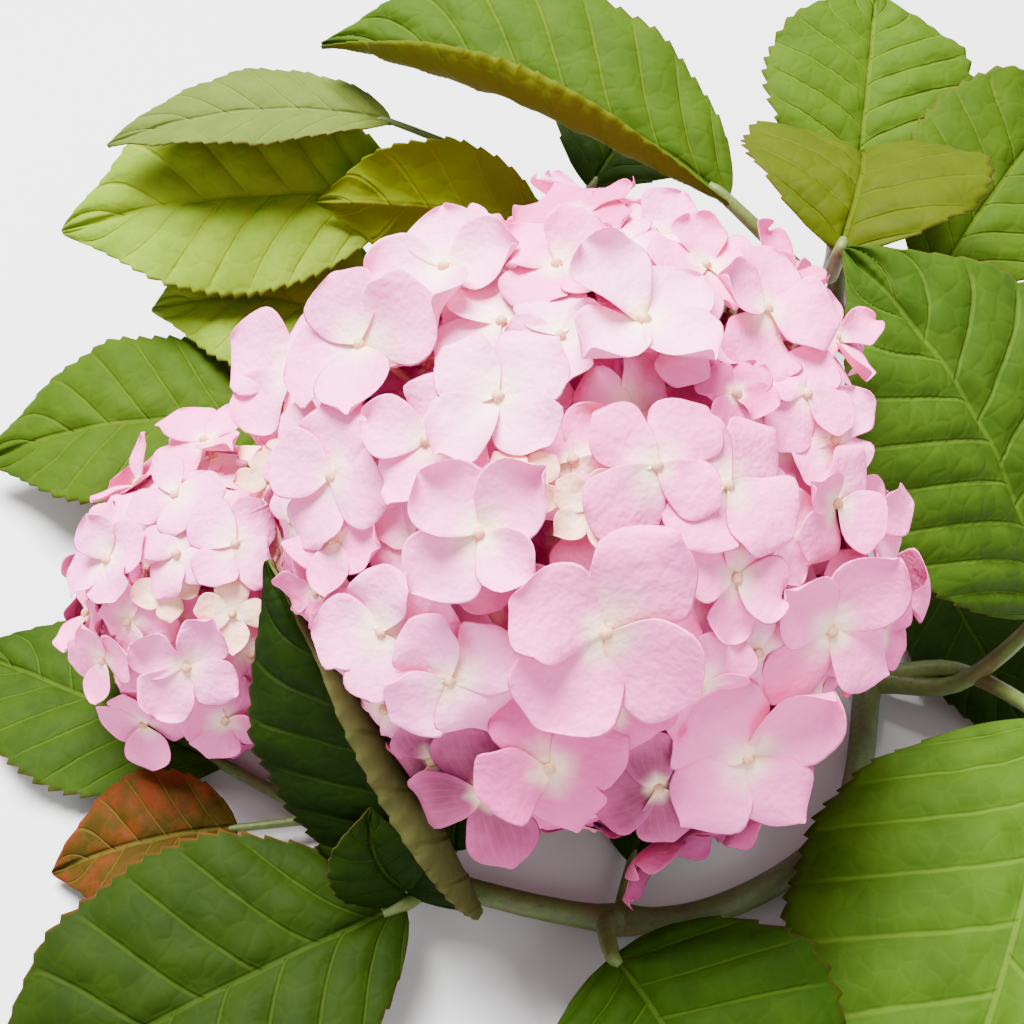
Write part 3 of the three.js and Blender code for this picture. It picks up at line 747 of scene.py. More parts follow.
def leaf_piece(leaf):
    """Blade with teeth, quilted relief and raised ribs underneath."""
    length = np.linalg.norm(np.subtract(leaf["tip"], leaf["neck"]))
    tt, ss, half_width = leaf_grid(leaf, length)
    offset_x = ss * half_width
    grid = blade_points(leaf, tt, ss, half_width)
    normal = grid_normals(grid)
    rise, below = leaf_relief(leaf, tt, ss, offset_x)
    middle = grid + normal * rise[..., None]
    top = middle + normal * LEAF_HALF
    bottom = middle - normal * below[..., None]
    lift = np.maximum(0, FLOOR_GAP + below - middle[..., 2])
    top[..., 2] += lift
    bottom[..., 2] += lift
    bottom[..., 2] = np.maximum(bottom[..., 2], FLOOR_GAP)
    points = np.concatenate([top.reshape(-1, 3), bottom.reshape(-1, 3)])
    faces = np.concatenate(shell_faces(*tt.shape))
    blade = mesh_object(leaf["name"], points, faces, leaf_finish(leaf))
    set_blade_maps(blade.data, tt, ss, offset_x, length)
    return blade


# A leaf's stalk: its steps, its radii at foot and neck, and how much the foot swells
STALK_STEPS = 18
STALK_SIDES = 10
STALK_RELIEF = 0.06
STALK_RADII = (2.5, 1.2)
FOOT_SWELL = 0.35
FOOT_LENGTH = 0.1
STALK_LEAF_WIDTH = 60
# The stalk comes to the neck in the blade's own direction and ends a little under its middle
STRAIGHT_SHARE = 0.4
END_SHARE = 0.05
END_DEPTH = 0.2


def leaf_stalk_path(leaf):
    root, neck = np.array(leaf["stem"], float), np.array(leaf["neck"], float)
    _, ahead, _, _ = blade_frame(leaf, 0.0)
    before = neck - ahead * STRAIGHT_SHARE * np.linalg.norm(neck - root)
    centre, _, up, _ = blade_frame(leaf, END_SHARE)
    knots = [root, (root + before) / 2, neck, centre - up * END_DEPTH]
    size = np.clip(leaf["width"] / STALK_LEAF_WIDTH, 0.6, 1.25)
    shares = np.linspace(0, 1, STALK_STEPS + 1)
    radius = size * lerp(*STALK_RADII, shares) * (1 + FOOT_SWELL * bell(shares / FOOT_LENGTH))
    path = curve_at(knots, shares)
    path[:, 2] = np.maximum(path[:, 2], radius)
    return path, radius


# Blooms

GOLDEN_ANGLE = math.pi * (3 - math.sqrt(5))
# Florets that follow the rule: their depths as shares of the radius, and how they vary
LAYERS = [0.99, 0.93, 0.87]
LAYER_STRAY = 0.015
SIZES = (0.8, 1.1)
LEAN = 0.16
CUPS = (-0.12, 0.22)
LARGER = 1.08
# As shares of two florets' sizes: closer than this to a chosen one, a floret is left out or sinks
SAME_PLACE = 0.52
NEAR_SHARE = 0.32
SUNK = 0.04
CHOSEN_CUP = 0.1
# A chosen floret larger than usual stands further out
USUAL_SIZE = 0.86
LIFT = 0.1
# Small florets that close the gaps
FILL_SPOTS = 700
COVERED = 0.41
LEAST_GAP = 3.3
FILL_LEAST = 0.5
FILL_GROWTH = 2.2
FILL_TILT = 0.15
FILL_DEPTHS = (0.93, 0.96)
FILL_REACH = 0.94
FILL_CUP = 0.15
# The two layers below: how deep they lie, as shares of the radius, and where the spiral starts
MIDDLE_LAYER = (0.85, 0.91, 0.7)
INNER_LAYER = (0.74, 0.81, 1.1)
LOWER_SIZES = (0.8, 1.0)
LOWER_CUP = 0.3
LOWER_TILT = 0.3
# How much of the ball round its axis a bloom's rays take up
RAY_CAP = 1.55

# Petal colours: what comes back from the outer part, and how far out the pale heart reaches
TONES = {
    "white": ((0.97, 0.38, 0.66), 0.44),
    "blush": ((0.94, 0.27, 0.58), 0.42),
    "pink": ((0.93, 0.20, 0.50), 0.36),
    # rose is partly a deeper pink of the florets' own and partly painted shade; the mauve is painted
    # shade on the lowest florets
    "rose": ((0.67, 0.088, 0.30), 0.30),
    "mauve_painted_shade": ((0.20, 0.026, 0.08), 0.25),
    "cream": ((0.95, 0.60, 0.33), 0.45),
}
# By how far up a floret looks, at least: the share of draws up to which each tone is taken. This is
# painted light and shade: florets that face up get the pale tones of a lit top, and those that face down
# get the rose and the mauve of the shaded lower side of the ball.
TONE_BANDS = [
    (0.72, ((0.2, "white"), (0.7, "blush"), (1, "pink"))),
    (0.3, ((0.35, "blush"), (1, "pink"))),
    (-0.05, ((0.5, "pink"), (1, "rose"))),
    (-2, ((0.5, "rose"), (1, "mauve_painted_shade"))),
]
HEART = (0.97, 0.74, 0.62)
CREAM_HEART = (0.94, 0.82, 0.36)
OPEN_SIDE = np.array([0, -0.643, 0.766])

# The chosen florets: bearing and height of their direction, size across, spin, how far they
# are turned to the open side, and tone
# Their tones are partly the florets' own and partly painted light and shade: white and blush near the
# lit top, rose and mauve on the low florets by the floor
LARGE_CHOSEN = [
    (-88, 36, 42, 55, 0.2, "pink"), (-114, 47, 33, 60, 0.15, "blush"), (-127, 26, 28, 20, 0.45, "blush"),
    (-113, 24, 30, 45, 0.4, "blush"), (-45, 79, 35, 20, 0.2, "white"), (-73, 58, 31, 45, 0.1, "pink"),
    (-57, 52, 30, 30, 0.1, "pink"), (-125, 66, 31, 70, 0.2, "white"), (-137, 55, 28, 100, 0.3, "blush"),
    (-152, 40, 30, 100, 0.4, "blush"), (-65, 8, 38, 35, 0.7, "pink"), (-47, 23, 36, 40, 0.45, "pink"),
    (-61, 26, 22, 0, 0.5, "blush"), (4, 61, 32, 25, 0.35, "pink"), (-18, 52, 25, 15, 0.3, "pink"),
    (-22, 44, 24, 20, 0.4, "blush"), (-62, 39, 25, 60, 0.3, "pink"), (156, 65, 31, 50, 0.4, "white"),
    (-91, 53, 17, 45, 0.1, "cream"), (-108, 55, 17, 60, 0.1, "cream"), (-96, 12, 34, 290, 0.5, "rose"),
    (-106, 3, 34, 290, 0.5, "mauve_painted_shade"), (-177, 53, 36, 60, 0.4, "blush"), (61, 77, 25, 50, 0.3, "blush"),
    (-163, 41, 27, 100, 0.4, "blush"), (-87, 22, 27, 300, 0.15, "rose"), (37, 45, 29, 60, 0.1, "rose"),
    (166, 29, 36, 5, 0.6, "blush"), (-143, 23, 20, 20, 0.4, "rose"), (-72, 24, 24, 60, 0.3, "pink"),
    (-79, 5, 28, 20, 0.5, "mauve_painted_shade"), (-25, 27, 24, 80, 0.1, "pink"), (-37, 62, 18, 30, 0.2, "rose"),
    (91, 64, 28, 20, 0.3, "rose"), (58, 68, 25, 60, 0.3, "blush"), (27, 68, 26, 30, 0.3, "pink"),
    (128, 47, 27, 40, 0.1, "pink"), (-114, 79, 23, 30, 0.1, "white"), (132, 83, 28, 10, 0.2, "pink"),
    (-28, 73, 23, 40, 0.1, "pink"), (19, 35, 26, 40, 0.4, "pink"), (-29, 4, 26, 40, 0.4, "rose"),
    (-115, 5, 26, 30, 0.4, "mauve_painted_shade"), (-132, 21, 22, 20, 0.4, "rose"), (-124, 12, 26, 60, 0.4, "pink"),
    (-33, 38, 26, 30, 0.3, "pink"), (-144, 33, 23, 30, 0.4, "pink"),
]
SMALL_CHOSEN = [
    (-58, 66, 25, 30, 0.2, "blush"), (-106, 65, 22, 80, 0.2, "blush"), (-110, 53, 17, 30, 0.1, "cream"),
    (-94, 27, 29, 60, 0.4, "blush"), (-73, 44, 18, 80, 0.2, "cream"), (50, 59, 18, 45, 0.3, "cream"),
    (-170, 80, 24, 40, 0.3, "blush"), (-84, 2, 25, 60, 0.5, "pink"), (25, 67, 19, 20, 0.2, "cream"),
    (-29, 53, 19, 60, 0.3, "cream"), (101, 57, 27, 20, 0.3, "pink"), (-149, 49, 25, 60, 0.3, "blush"),
    (-131, 16, 24, 30, 0.3, "pink"), (-118, -13, 25, 20, 0.4, "pink"),
]
BLOOMS = [
    dict(name="large_bloom", centre=[16, 1, 80], axis=[-0.52, -0.57, 0.64], radius=80, core=0.8,
         spread=132, count=76, size=36, seed=11, middle=54, inner=90, rays=16, parts=3,
         chosen=LARGE_CHOSEN),
    dict(name="small_bloom", centre=[-78, 7, 44.5], axis=[-0.475, -0.77, 0.43], radius=42,
         core=0.78, spread=130, count=44, size=24, seed=29, middle=18, inner=40, rays=9, parts=1,
         chosen=SMALL_CHOSEN),
]
for bloom in BLOOMS:
    bloom["centre"] = np.array(bloom["centre"], float)


def sequence(seed):
    """The same numbers as the source draws, from 0 to 1."""
    state = seed
    while True:
        state = (state * 1664525 + 1013904223) % 2**32
        yield state / 2**32


def facing(normal):
    right = unit(np.array([-normal[1], normal[0], 0.0]))
    return right, np.cross(normal, right)


def leaning(out, tilt):
    right, above = facing(out)
    return out + right * tilt[0] + above * tilt[1]


def turn_of(across, along, outward):
    return tuple(Matrix(np.column_stack([across, along, outward]).tolist()).to_euler("XYZ"))


def direction(bearing, height):
    b, h = math.radians(bearing), math.radians(height)
    return np.array([math.cos(h) * math.cos(b), math.cos(h) * math.sin(b), math.sin(h)])


def crowded(out, size, chosen, bloom):
    """Whether a floret here would come up through one of the chosen ones."""
    return any(
        np.linalg.norm(other["out"] - out) * bloom["radius"] < NEAR_SHARE * (other["size"] + size)
        for other in chosen
    )


def place_florets(bloom):
    random = sequence(bloom["seed"])

    def between(low, high):
        return low + (high - low) * next(random)

    florets = []
    for bearing, height, size, spin, turned, tone in bloom["chosen"]:
        lift = np.clip(size / bloom["size"] - USUAL_SIZE, -0.15, 0.25) * LIFT * bloom["radius"]
        florets.append(dict(out=direction(bearing, height), reach=bloom["radius"] + lift,
                            size=size, cup=CHOSEN_CUP, spin=math.radians(spin),
                            lean=(0, 0), turned=turned, tone=tone))
    chosen = list(florets)
    for i, out in enumerate(spiral(bloom, bloom["count"], cap_of(bloom))):
        reach = bloom["radius"] * (LAYERS[i % len(LAYERS)] + between(-LAYER_STRAY, LAYER_STRAY))
        size = bloom["size"] * between(*SIZES)
        spin = between(0, math.pi / 2)
        lean = (between(-LEAN, LEAN), between(-LEAN, LEAN))
        cup = between(*CUPS)
        taken = any(
            np.linalg.norm(other["out"] - out) * bloom["radius"]
            < SAME_PLACE * 0.5 * (other["size"] + size) for other in chosen
        )
        if not taken:
            under = crowded(out, size, chosen, bloom)
            reach -= SUNK * bloom["radius"] * under
            florets.append(dict(out=out, reach=reach, size=size * LARGER, spin=spin, lean=lean,
                                cup=cup, turned=0, tone=None, crowded=under))
    for floret in florets:
        floret["place"] = bloom["centre"] + floret["out"] * floret["reach"]
        ahead = leaning(floret["out"], floret["lean"])
        floret["normal"] = unit(lerp(ahead, OPEN_SIDE, floret["turned"]))
    return florets


def spiral(bloom, count, cap, first_turn=0.0):
    """Directions spread evenly over a cap round the bloom's axis, 2 being the whole ball."""
    axis = unit(bloom["axis"])
    right, above = facing(axis)
    steps = np.arange(count)
    down = 1 - cap * (steps + 0.5) / count
    away = np.sqrt(1 - down**2)
    turn = steps * GOLDEN_ANGLE + first_turn
    return (axis * down[:, None] + right * (away * np.cos(turn))[:, None]
            + above * (away * np.sin(turn))[:, None])


def cap_of(bloom, further=0):
    return 1 - math.cos(math.radians(bloom["spread"] + further))


def fill_gaps(bloom, florets, rng):
    """Small florets wherever the ones placed so far leave the head open."""
    ways = spiral(bloom, FILL_SPOTS, cap_of(bloom))
    radius = bloom["radius"]
    room = np.full(FILL_SPOTS, np.inf)
    for other in florets:
        gap = np.linalg.norm(ways - other["out"], axis=1) * radius - COVERED * other["size"]
        room = np.minimum(room, gap)
    added = []
    while room.max() > LEAST_GAP:
        out = ways[int(room.argmax())]
        share = FILL_LEAST + FILL_GROWTH * room.max() / bloom["size"]
        size = bloom["size"] * float(np.clip(share, 0.6, 0.95))
        tilt = rng.uniform(-FILL_TILT, FILL_TILT, 2)
        place = bloom["centre"] + out * radius * rng.uniform(*FILL_DEPTHS)
        added.append(dict(out=out, reach=radius * FILL_REACH, size=size,
                          spin=rng.uniform(0, math.pi / 2), cup=rng.uniform(0, FILL_CUP),
                          tone=None, crowded=True, place=place,
                          normal=unit(leaning(out, tilt))))
        gap = np.linalg.norm(ways - out, axis=1) * radius - COVERED * size
        room = np.minimum(room, gap)
    return added


def lower_florets(bloom, rng, count, layer, tone, chosen):
    """A layer of florets below the outer ones, which closes the gaps between them."""
    low, high, first_turn = layer
    florets = []
    for out in spiral(bloom, count, cap_of(bloom, 4), first_turn):
        reach = bloom["radius"] * rng.uniform(low, high)
        tilt = rng.uniform(-LOWER_TILT, LOWER_TILT, 2)
        size = bloom["size"] * rng.uniform(*LOWER_SIZES)
        florets.append(dict(out=out, reach=reach, size=size, spin=rng.uniform(0, math.pi / 2),
                            cup=rng.uniform(0, LOWER_CUP), tone=tone,
                            crowded=crowded(out, size, chosen, bloom),
                            place=bloom["centre"] + out * reach, normal=unit(leaning(out, tilt))))
    return florets


# A petal on a small grid: its outline, then how far it cups, bows and waves
ALONG = (0.0, 0.1, 0.25, 0.42, 0.6, 0.78, 0.92, 1.0)
ACROSS = (-1.0, -0.55, 0.0, 0.55, 1.0)
PETAL_HALF = 0.0075
RAGGED, LONG_RAGS, SHORT_RAGS = 2.1, 13.0, 23.0
TWIST, TWIST_WAVE = 1.4, 5.0
FRILL, FRILL_WAVE = 1.3, 8.5
CREASE_DEPTH, CREASE_WIDTH = 0.04, 0.4
BENT_TIP, ROUND_TIP = 0.07, 0.06
BROAD = (0.06, 0.22, 0.40, 0.51, 0.55, 0.49, 0.33, 0.11)
POINTED = (0.06, 0.21, 0.38, 0.49, 0.50, 0.39, 0.21, 0.05)
OVAL = (0.06, 0.18, 0.33, 0.43, 0.48, 0.43, 0.29, 0.09)
PETAL_KINDS = [
    dict(outline=BROAD, cup=0.06, bow=0.02, wave=0.03, ragged=0.03, phase=0.4),
    dict(outline=BROAD, cup=0.09, bow=-0.05, wave=0.05, ragged=0.07, phase=1.9),
    dict(outline=POINTED, cup=0.10, bow=0.05, wave=0.02, ragged=0.02, phase=3.1),
    dict(outline=POINTED, cup=0.22, bow=0.08, wave=0.03, ragged=0.03, phase=4.4),
    dict(outline=OVAL, cup=-0.05, bow=-0.16, wave=0.04, ragged=0.03, phase=5.2),
    dict(outline=BROAD, cup=0.02, bow=-0.10, wave=0.07, ragged=0.05, phase=0.9),
    dict(outline=POINTED, cup=-0.06, bow=-0.08, wave=0.05, ragged=0.04, phase=2.4),
    dict(outline=OVAL, cup=0.14, bow=0.02, wave=0.06, ragged=0.05, phase=3.8),
]


def petal_shape(kind, number):
    across, along = np.meshgrid(ACROSS, ALONG)
    half = np.array(kind["outline"])[:, None]
    phase = kind["phase"]
    rim = np.abs(across) ** 2
    uneven = 1 + RAGGED * kind["ragged"] * rim * (
        np.sin(LONG_RAGS * along + phase * 3 + 2.0 * np.sign(across))
        + 0.6 * np.sin(SHORT_RAGS * along + phase * 5 - np.sign(across))
    )
    x = across * half * uneven + BENT_TIP * math.sin(phase * 2.7) * along**2
    y = along - ROUND_TIP * rim * along**4
    z = (
        kind["cup"] * across**2 * smoothstep(along, 0, 0.5)
        + kind["bow"] * along**2
        + TWIST * kind["wave"] * across * along * np.sin(TWIST_WAVE * along + phase)
        + FRILL * kind["wave"] * across**2 * np.cos(FRILL_WAVE * along + phase)
        - CREASE_DEPTH * bell(across / CREASE_WIDTH) * along * (1 - along) * 3
    )
    rows, columns = across.shape
    middle = np.stack([x, y, z], -1)
    normal = grid_normals(middle)
    top = middle + normal * PETAL_HALF
    bottom = middle - normal * PETAL_HALF
    points = np.concatenate([top.reshape(-1, 3), bottom.reshape(-1, 3)])
    faces = np.concatenate(shell_faces(rows, columns)).tolist()
    mesh = bpy.data.meshes.new(f"petal_{number}")
    mesh.from_pydata([tuple(p) for p in points], [], faces)
    shade_smooth(mesh)
    flat = np.stack([across.ravel() * 0.5 + 0.5, along.ravel()], 1)
    set_uv(mesh, "Petal", np.tile(flat, (2, 1))[read(mesh.loops, "vertex_index", kind=int)])
    set_values(mesh, "under", np.repeat([0.0, 1.0], rows * columns))
    return bpy.data.objects.new(f"petal_{number}", mesh)


BUD_FLATNESS = 0.85
LOBE_NOTCH = 0.22
LOBE_REACH = 0.1


def bud_shape():
    """The closed button at a floret's middle: four small rounded lobes."""
    made = bmesh.new()
    bmesh.ops.create_icosphere(made, subdivisions=2, radius=1.0)
    for v in made.verts:
        turn = math.atan2(v.co.y, v.co.x)
        side = math.hypot(v.co.x, v.co.y)
        lobe = math.cos(4 * turn)
        notch = LOBE_NOTCH * side * (0.5 + 0.5 * lobe) * (v.co.z > 0)
        v.co.z = v.co.z * BUD_FLATNESS - notch
        v.co.x *= 1 + LOBE_REACH * lobe
        v.co.y *= 1 + LOBE_REACH * lobe
    mesh = bpy.data.meshes.new("bud")
    made.to_mesh(mesh)
    made.free()
    shade_smooth(mesh)
    return bpy.data.objects.new("bud", mesh)


def hidden_collection(name, members):
    """Shapes that only the Geometry Nodes read, outside the scene."""
    collection = bpy.data.collections.new(name)
    for member in members:
        collection.objects.link(member)
    return collection


# A floret's two pairs of petals differ in cup, in length, and in height over its middle, the
# heights being those of a floret that reaches HEIGHTS_OF
PAIR_CUP = (0.6, 1.5)
PAIR_LENGTH = (1.04, 0.97)
PAIR_HEIGHT = (-0.15, 0.5)
HEIGHTS_OF = 17
LEAST_RISE = 0.03
CROWDED_RISE, CROWDED_CUP = -0.04, 0.4
FULL_LENGTH = 1.06
HEART_OFF = 0.02
# How far petals stray from their floret's cross, in radians and as shares of their length
TURN_STRAY = 0.09
RISE_STRAY = 0.09
ROLL_STRAY = 0.15
LENGTH_STRAY = 0.06
WIDTH_STRAY = 0.07
HEART_STRAY = 0.05
# How a petal's colour varies, which share stands up, and which is of its floret's own kind
SHADES = (0.94, 1.05)
RAISED_SHARE = 0.16
RAISED = (0.3, 0.9)
LIKE_SHARE = 0.6
YOUNG_WIDTH = 0.86
YOUNG_HEART = 0.25


def petal_rows(florets, rng):
    """Each floret's four petals as points with a turn, a stretch, a kind and a colour."""
    places, turns, stretches, kinds, tones, hearts = [], [], [], [], [], []
    for floret in florets:
        normal = floret["normal"]
        right, above = facing(normal)
        tone = floret["tone"]
        up = floret["out"][2]
        if tone is None:
            draw = rng.random()
            # Painted light and shade: the band of tones, paler up and darker down, follows how far up
            # the floret faces
            band = next(shares for least, shares in TONE_BANDS if up > least)
            tone = next(name for share, name in band if draw < share)
        colour, heart = TONES[tone]
        reach = floret["size"] / 2
        chosen = floret["tone"] is not None
        likeness = rng.integers(0, len(PETAL_KINDS))
        young = tone == "cream"
        for k in range(4):
            turn = floret["spin"] + k * math.pi / 2 + rng.normal(0, TURN_STRAY)
            out = right * math.cos(turn) + above * math.sin(turn)
            pair = k % 2
            rise = floret["cup"] * PAIR_CUP[pair] + LEAST_RISE + rng.normal(0, RISE_STRAY)
            if floret.get("crowded"):
                rise = CROWDED_RISE - abs(rise) * CROWDED_CUP
            elif not chosen and rng.random() < RAISED_SHARE:
                rise += rng.uniform(*RAISED)
            tilt = math.atan(rise)
            along = out * math.cos(tilt) + normal * math.sin(tilt)
            outward = normal * math.cos(tilt) - out * math.sin(tilt)
            roll = rng.normal(0, ROLL_STRAY)
            across = np.cross(along, outward)
            across = across * math.cos(roll) + outward * math.sin(roll)
            outward = np.cross(across, along)
            turns.append(turn_of(across, along, outward))
            long = reach * (FULL_LENGTH + rng.normal(0, LENGTH_STRAY)) * PAIR_LENGTH[pair]
            wide = long * (1 + rng.normal(0, WIDTH_STRAY)) * (YOUNG_WIDTH if young else 1.0)
            stretches.append((wide, long, long))
            places.append(floret["place"] + normal * PAIR_HEIGHT[pair] * reach / HEIGHTS_OF
                          + out * HEART_OFF * reach)
            kinds.append(likeness if rng.random() < LIKE_SHARE else rng.integers(0, len(PETAL_KINDS)))
            shade = np.array(colour) * rng.uniform(*SHADES)
            tones.append((*np.clip(shade, 0, 1), 1))
            reached = heart + rng.normal(0, HEART_STRAY) + YOUNG_HEART * young
            hearts.append(np.clip(reached, 0.1, 1.2))
    return places, turns, stretches, kinds, tones, hearts


def petal_material():
    def build(net):
        _, across, along = net.uv("Petal")
        place = net.object_place()
        tone = net.attribute("tone", "Color")
        heart = net.attribute("heart")
        under = net.attribute("under")
        side = net.maths("ABSOLUTE", across - 0.5)
        cloud = net.noise(place, 110, 2, 0.6) - 0.5
        from_heart = along + side * 0.4 + cloud * 0.35
        pale = net.ramp(from_heart, heart * 1.3, heart * 0.1)
        colour = net.mix(pale * (0.85 - under * 0.6), tone, HEART)
        core = net.ramp(along, 0.2, 0.0)
        colour = net.mix(core * 0.6, colour, CREAM_HEART)
        streaks = net.maths("PINGPONG", across * 9 + cloud * 0.9, 0.5)
        streaks = net.ramp(streaks, 0.2, 0.0) * net.ramp(along, 0.02, 0.35)
        colour = net.mix(streaks * 0.1, colour, (0.72, 0.1, 0.3))
        mottle = net.ramp(cloud, -0.08, 0.18)
        colour = net.mix(mottle * 0.16, colour, (0.85, 0.14, 0.40))
        outer = net.ramp(net.maths("MAXIMUM", side * 1.7, along), 0.45, 1.0)
        colour = net.mix(outer * 0.34, colour, (0.84, 0.12, 0.44))
        colour = net.mix(under * 0.3, colour, (0.72, 0.13, 0.27))
        wrinkles = net.noise(place, 260, 2, 0.62)
        return {"Base Color": colour, "Normal": net.bump(wrinkles, 0.0013, 0.6)}

    return finish_material("petals", build, Roughness=0.6, Specular_IOR_Level=0.22)


FINE_GRAIN = 900


def mottled_finish(name, scale, ends, light, dark, distance, strength, roughness):
    """Two colours that run into each other, over a fine grain."""
    def build(net):
        place = net.object_place()
        colour = net.mix(net.ramp(net.noise(place, scale, 2), *ends), light, dark)
        grain = net.noise(place, FINE_GRAIN, 2)
        return {"Base Color": colour, "Normal": net.bump(grain, distance, strength)}

    return finish_material(name, build, Roughness=roughness)


def bark_material():
    def build(net):
        place = net.object_place()
        stretched = net.node("ShaderNodeMapping", {}, {"Vector": place, "Scale": (1, 0.3, 1)})
        fibres = net.noise(stretched.outputs[0], 620, 4, 0.6)
        patches = net.noise(place, 60, 3)
        colour = net.mix(net.ramp(fibres, 0.3, 0.7), (0.13, 0.09, 0.045), (0.055, 0.036, 0.018))
        colour = net.mix(net.ramp(patches, 0.5, 0.65) * 0.5, colour, (0.1, 0.1, 0.03))
        specks = net.ramp(net.noise(place, 480, 1), 0.66, 0.72)
        colour = net.mix(specks * 0.7, colour, (0.22, 0.17, 0.1))
        height = fibres * 0.7 + specks
        return {"Base Color": colour, "Normal": net.bump(height, 0.0008, 0.8),
                "Roughness": 0.7 + fibres * 0.15}

    return finish_material("stem_bark", build)


def shoot_material(name, base, blush):
    def build(net):
        place = net.object_place()
        patches = net.noise(place, 70, 3)
        streaks = net.noise(place, 420, 3)
        colour = net.mix(net.ramp(streaks, 0.3, 0.7), base, [c * 0.78 for c in base])
        colour = net.mix(net.ramp(patches, 0.5, 0.68) * 0.55, colour, blush)
        specks = net.ramp(net.noise(place, 800, 1), 0.68, 0.74)
        colour = net.mix(specks * 0.5, colour, (0.08, 0.035, 0.018))
        return {"Base Color": colour, "Normal": net.bump(streaks + specks, 0.0004, 0.6),
                "Roughness": 0.45 + streaks * 0.15}

    return finish_material(name, build)


def dividing_plane():
    """A point on the plane where the blooms press together, and the way to the large one."""
    large, small = (bloom["centre"] for bloom in BLOOMS)
    towards = unit(large - small)
    share = (np.linalg.norm(large - small) + BLOOMS[1]["radius"] - BLOOMS[0]["radius"]) / 2
    return small + towards * share, towards


# The plane between the blooms: filling florets keep this far off, and petals are pressed back
LEAST_SIDE = 5.0
PLANE_GAP = 2.0
PLANE_LEAST = 0.3
PLANE_EASE = 0.25
# Petals under a leaf: from which share of the radius a leaf is looked for, and how far out
LEAF_FROM = 0.55
LEAF_REACH = 0.6
LEAF_GAP = 1.6
PRESS_WIDTH = 9.0
PRESS_NEAR = 1.0
# Petals pressed by a leaf keep their order: the further out, the nearer to the leaf
STACK_DEPTH = 0.12
STACK_EASE = 8
# Petals in front of the leaf between the blooms are laid behind it, seen from the open side
TUCK_DEPTH = 34.0
TUCK_WAY = -OPEN_SIDE
TUCK_FROM = 0.0
TUCK_GAP = 1.5


def keep_in_place(points, bloom, leaf_tree):
    """Petals pressed back from the other bloom, the leaves that lie on them, and the floor."""
    points = points.copy()
    middle, towards = dividing_plane()
    side = 1 if bloom is BLOOMS[0] else -1
    depth = (points - middle) @ towards * side
    short = depth < PLANE_GAP
    pressed = PLANE_LEAST + (PLANE_GAP - PLANE_LEAST) * np.exp(
        np.minimum(depth - PLANE_GAP, 0) * PLANE_EASE
    )
    points[short] += (pressed - depth)[short, None] * towards * side
    centre = bloom["centre"]
    ray = points - centre
    far = np.linalg.norm(ray, axis=1)
    ray /= far[:, None]
    origin = Vector(metres(centre))
    for i in range(len(points)):
        hit = leaf_tree.ray_cast(origin + Vector(ray[i]) * (bloom["radius"] * LEAF_FROM * MM),
                                 Vector(ray[i]), bloom["radius"] * LEAF_REACH * MM)
        if hit[0] is not None:
            limit = bloom["radius"] * LEAF_FROM + hit[3] / MM - LEAF_GAP
            if far[i] > limit:
                stacked = STACK_DEPTH * (1 - math.exp((limit - far[i]) / STACK_EASE))
                points[i] = centre + ray[i] * (limit - stacked)
            continue
        near = leaf_tree.find_nearest(Vector(metres(points[i])), PRESS_WIDTH * MM)
        if near[0] is not None:
            limit = np.linalg.norm(np.array(near[0]) - metres(centre)) / MM - LEAF_GAP
            if far[i] > limit:
                kept = smoothstep(near[3] / MM, PRESS_NEAR, PRESS_WIDTH)
                points[i] = centre + ray[i] * lerp(limit, far[i], kept)
    for i in np.tile(np.flatnonzero(points[:, 1] < TUCK_FROM), 2):
        hit = overlying_leaf.ray_cast(Vector(metres(points[i])), Vector(TUCK_WAY), TUCK_DEPTH * MM)
        if hit[0] is not None:
            points[i] += TUCK_WAY * (hit[3] / MM + TUCK_GAP)
    points[:, 2] = np.maximum(points[:, 2], FLOOR_GAP)
    return points


# How a floret is pushed down under the neighbours placed before it, and how far at most
LAYER_GAP = 0.75
LAYER_FROM = 0.4
NEIGHBOURS = 0.65
FLORET_TOP = 2.0
DEEPEST_SINK = 6.0
DEEPEST_PRESS = 13.0
PETAL_GRID = len(ALONG) * len(ACROSS)


def underside(points):
    """A search tree of the lower faces of one floret's petals."""
    lower = shell_faces(len(ALONG), len(ACROSS))[1]
    faces = np.concatenate([lower + 2 * PETAL_GRID * k for k in range(4)])
    return search_tree(points, faces.tolist())


def depths_under(places, trees, bloom):
    """How far each place has to go in to lie under these florets, and which way."""
    centre = bloom["centre"]
    way = places - centre
    far = np.linalg.norm(way, axis=1)
    way /= far[:, None]
    start = bloom["radius"] * LAYER_FROM
    limit = far.copy()
    for i in range(len(places)):
        ahead = Vector(way[i])
        first = Vector(metres(centre)) + ahead * (start * MM)
        for tree in trees:
            hit = tree.ray_cast(first, ahead, max(0, far[i] - start + LAYER_GAP) * MM)
            if hit[0] is not None:
                limit[i] = min(limit[i], start + hit[3] / MM - LAYER_GAP)
    return far - limit, way


def spread_out(press):
    """Presses that fade over the neighbouring places of each petal."""
    for _ in range(3):
        wide = np.pad(press, ((0, 0), (1, 1), (1, 1)), "edge")
        near = (wide[:, :-2, 1:-1] + wide[:, 2:, 1:-1] + wide[:, 1:-1, :-2] + wide[:, 1:-1, 2:]) / 4
        press = np.maximum(press, 0.5 * press + 0.5 * near)
    return press


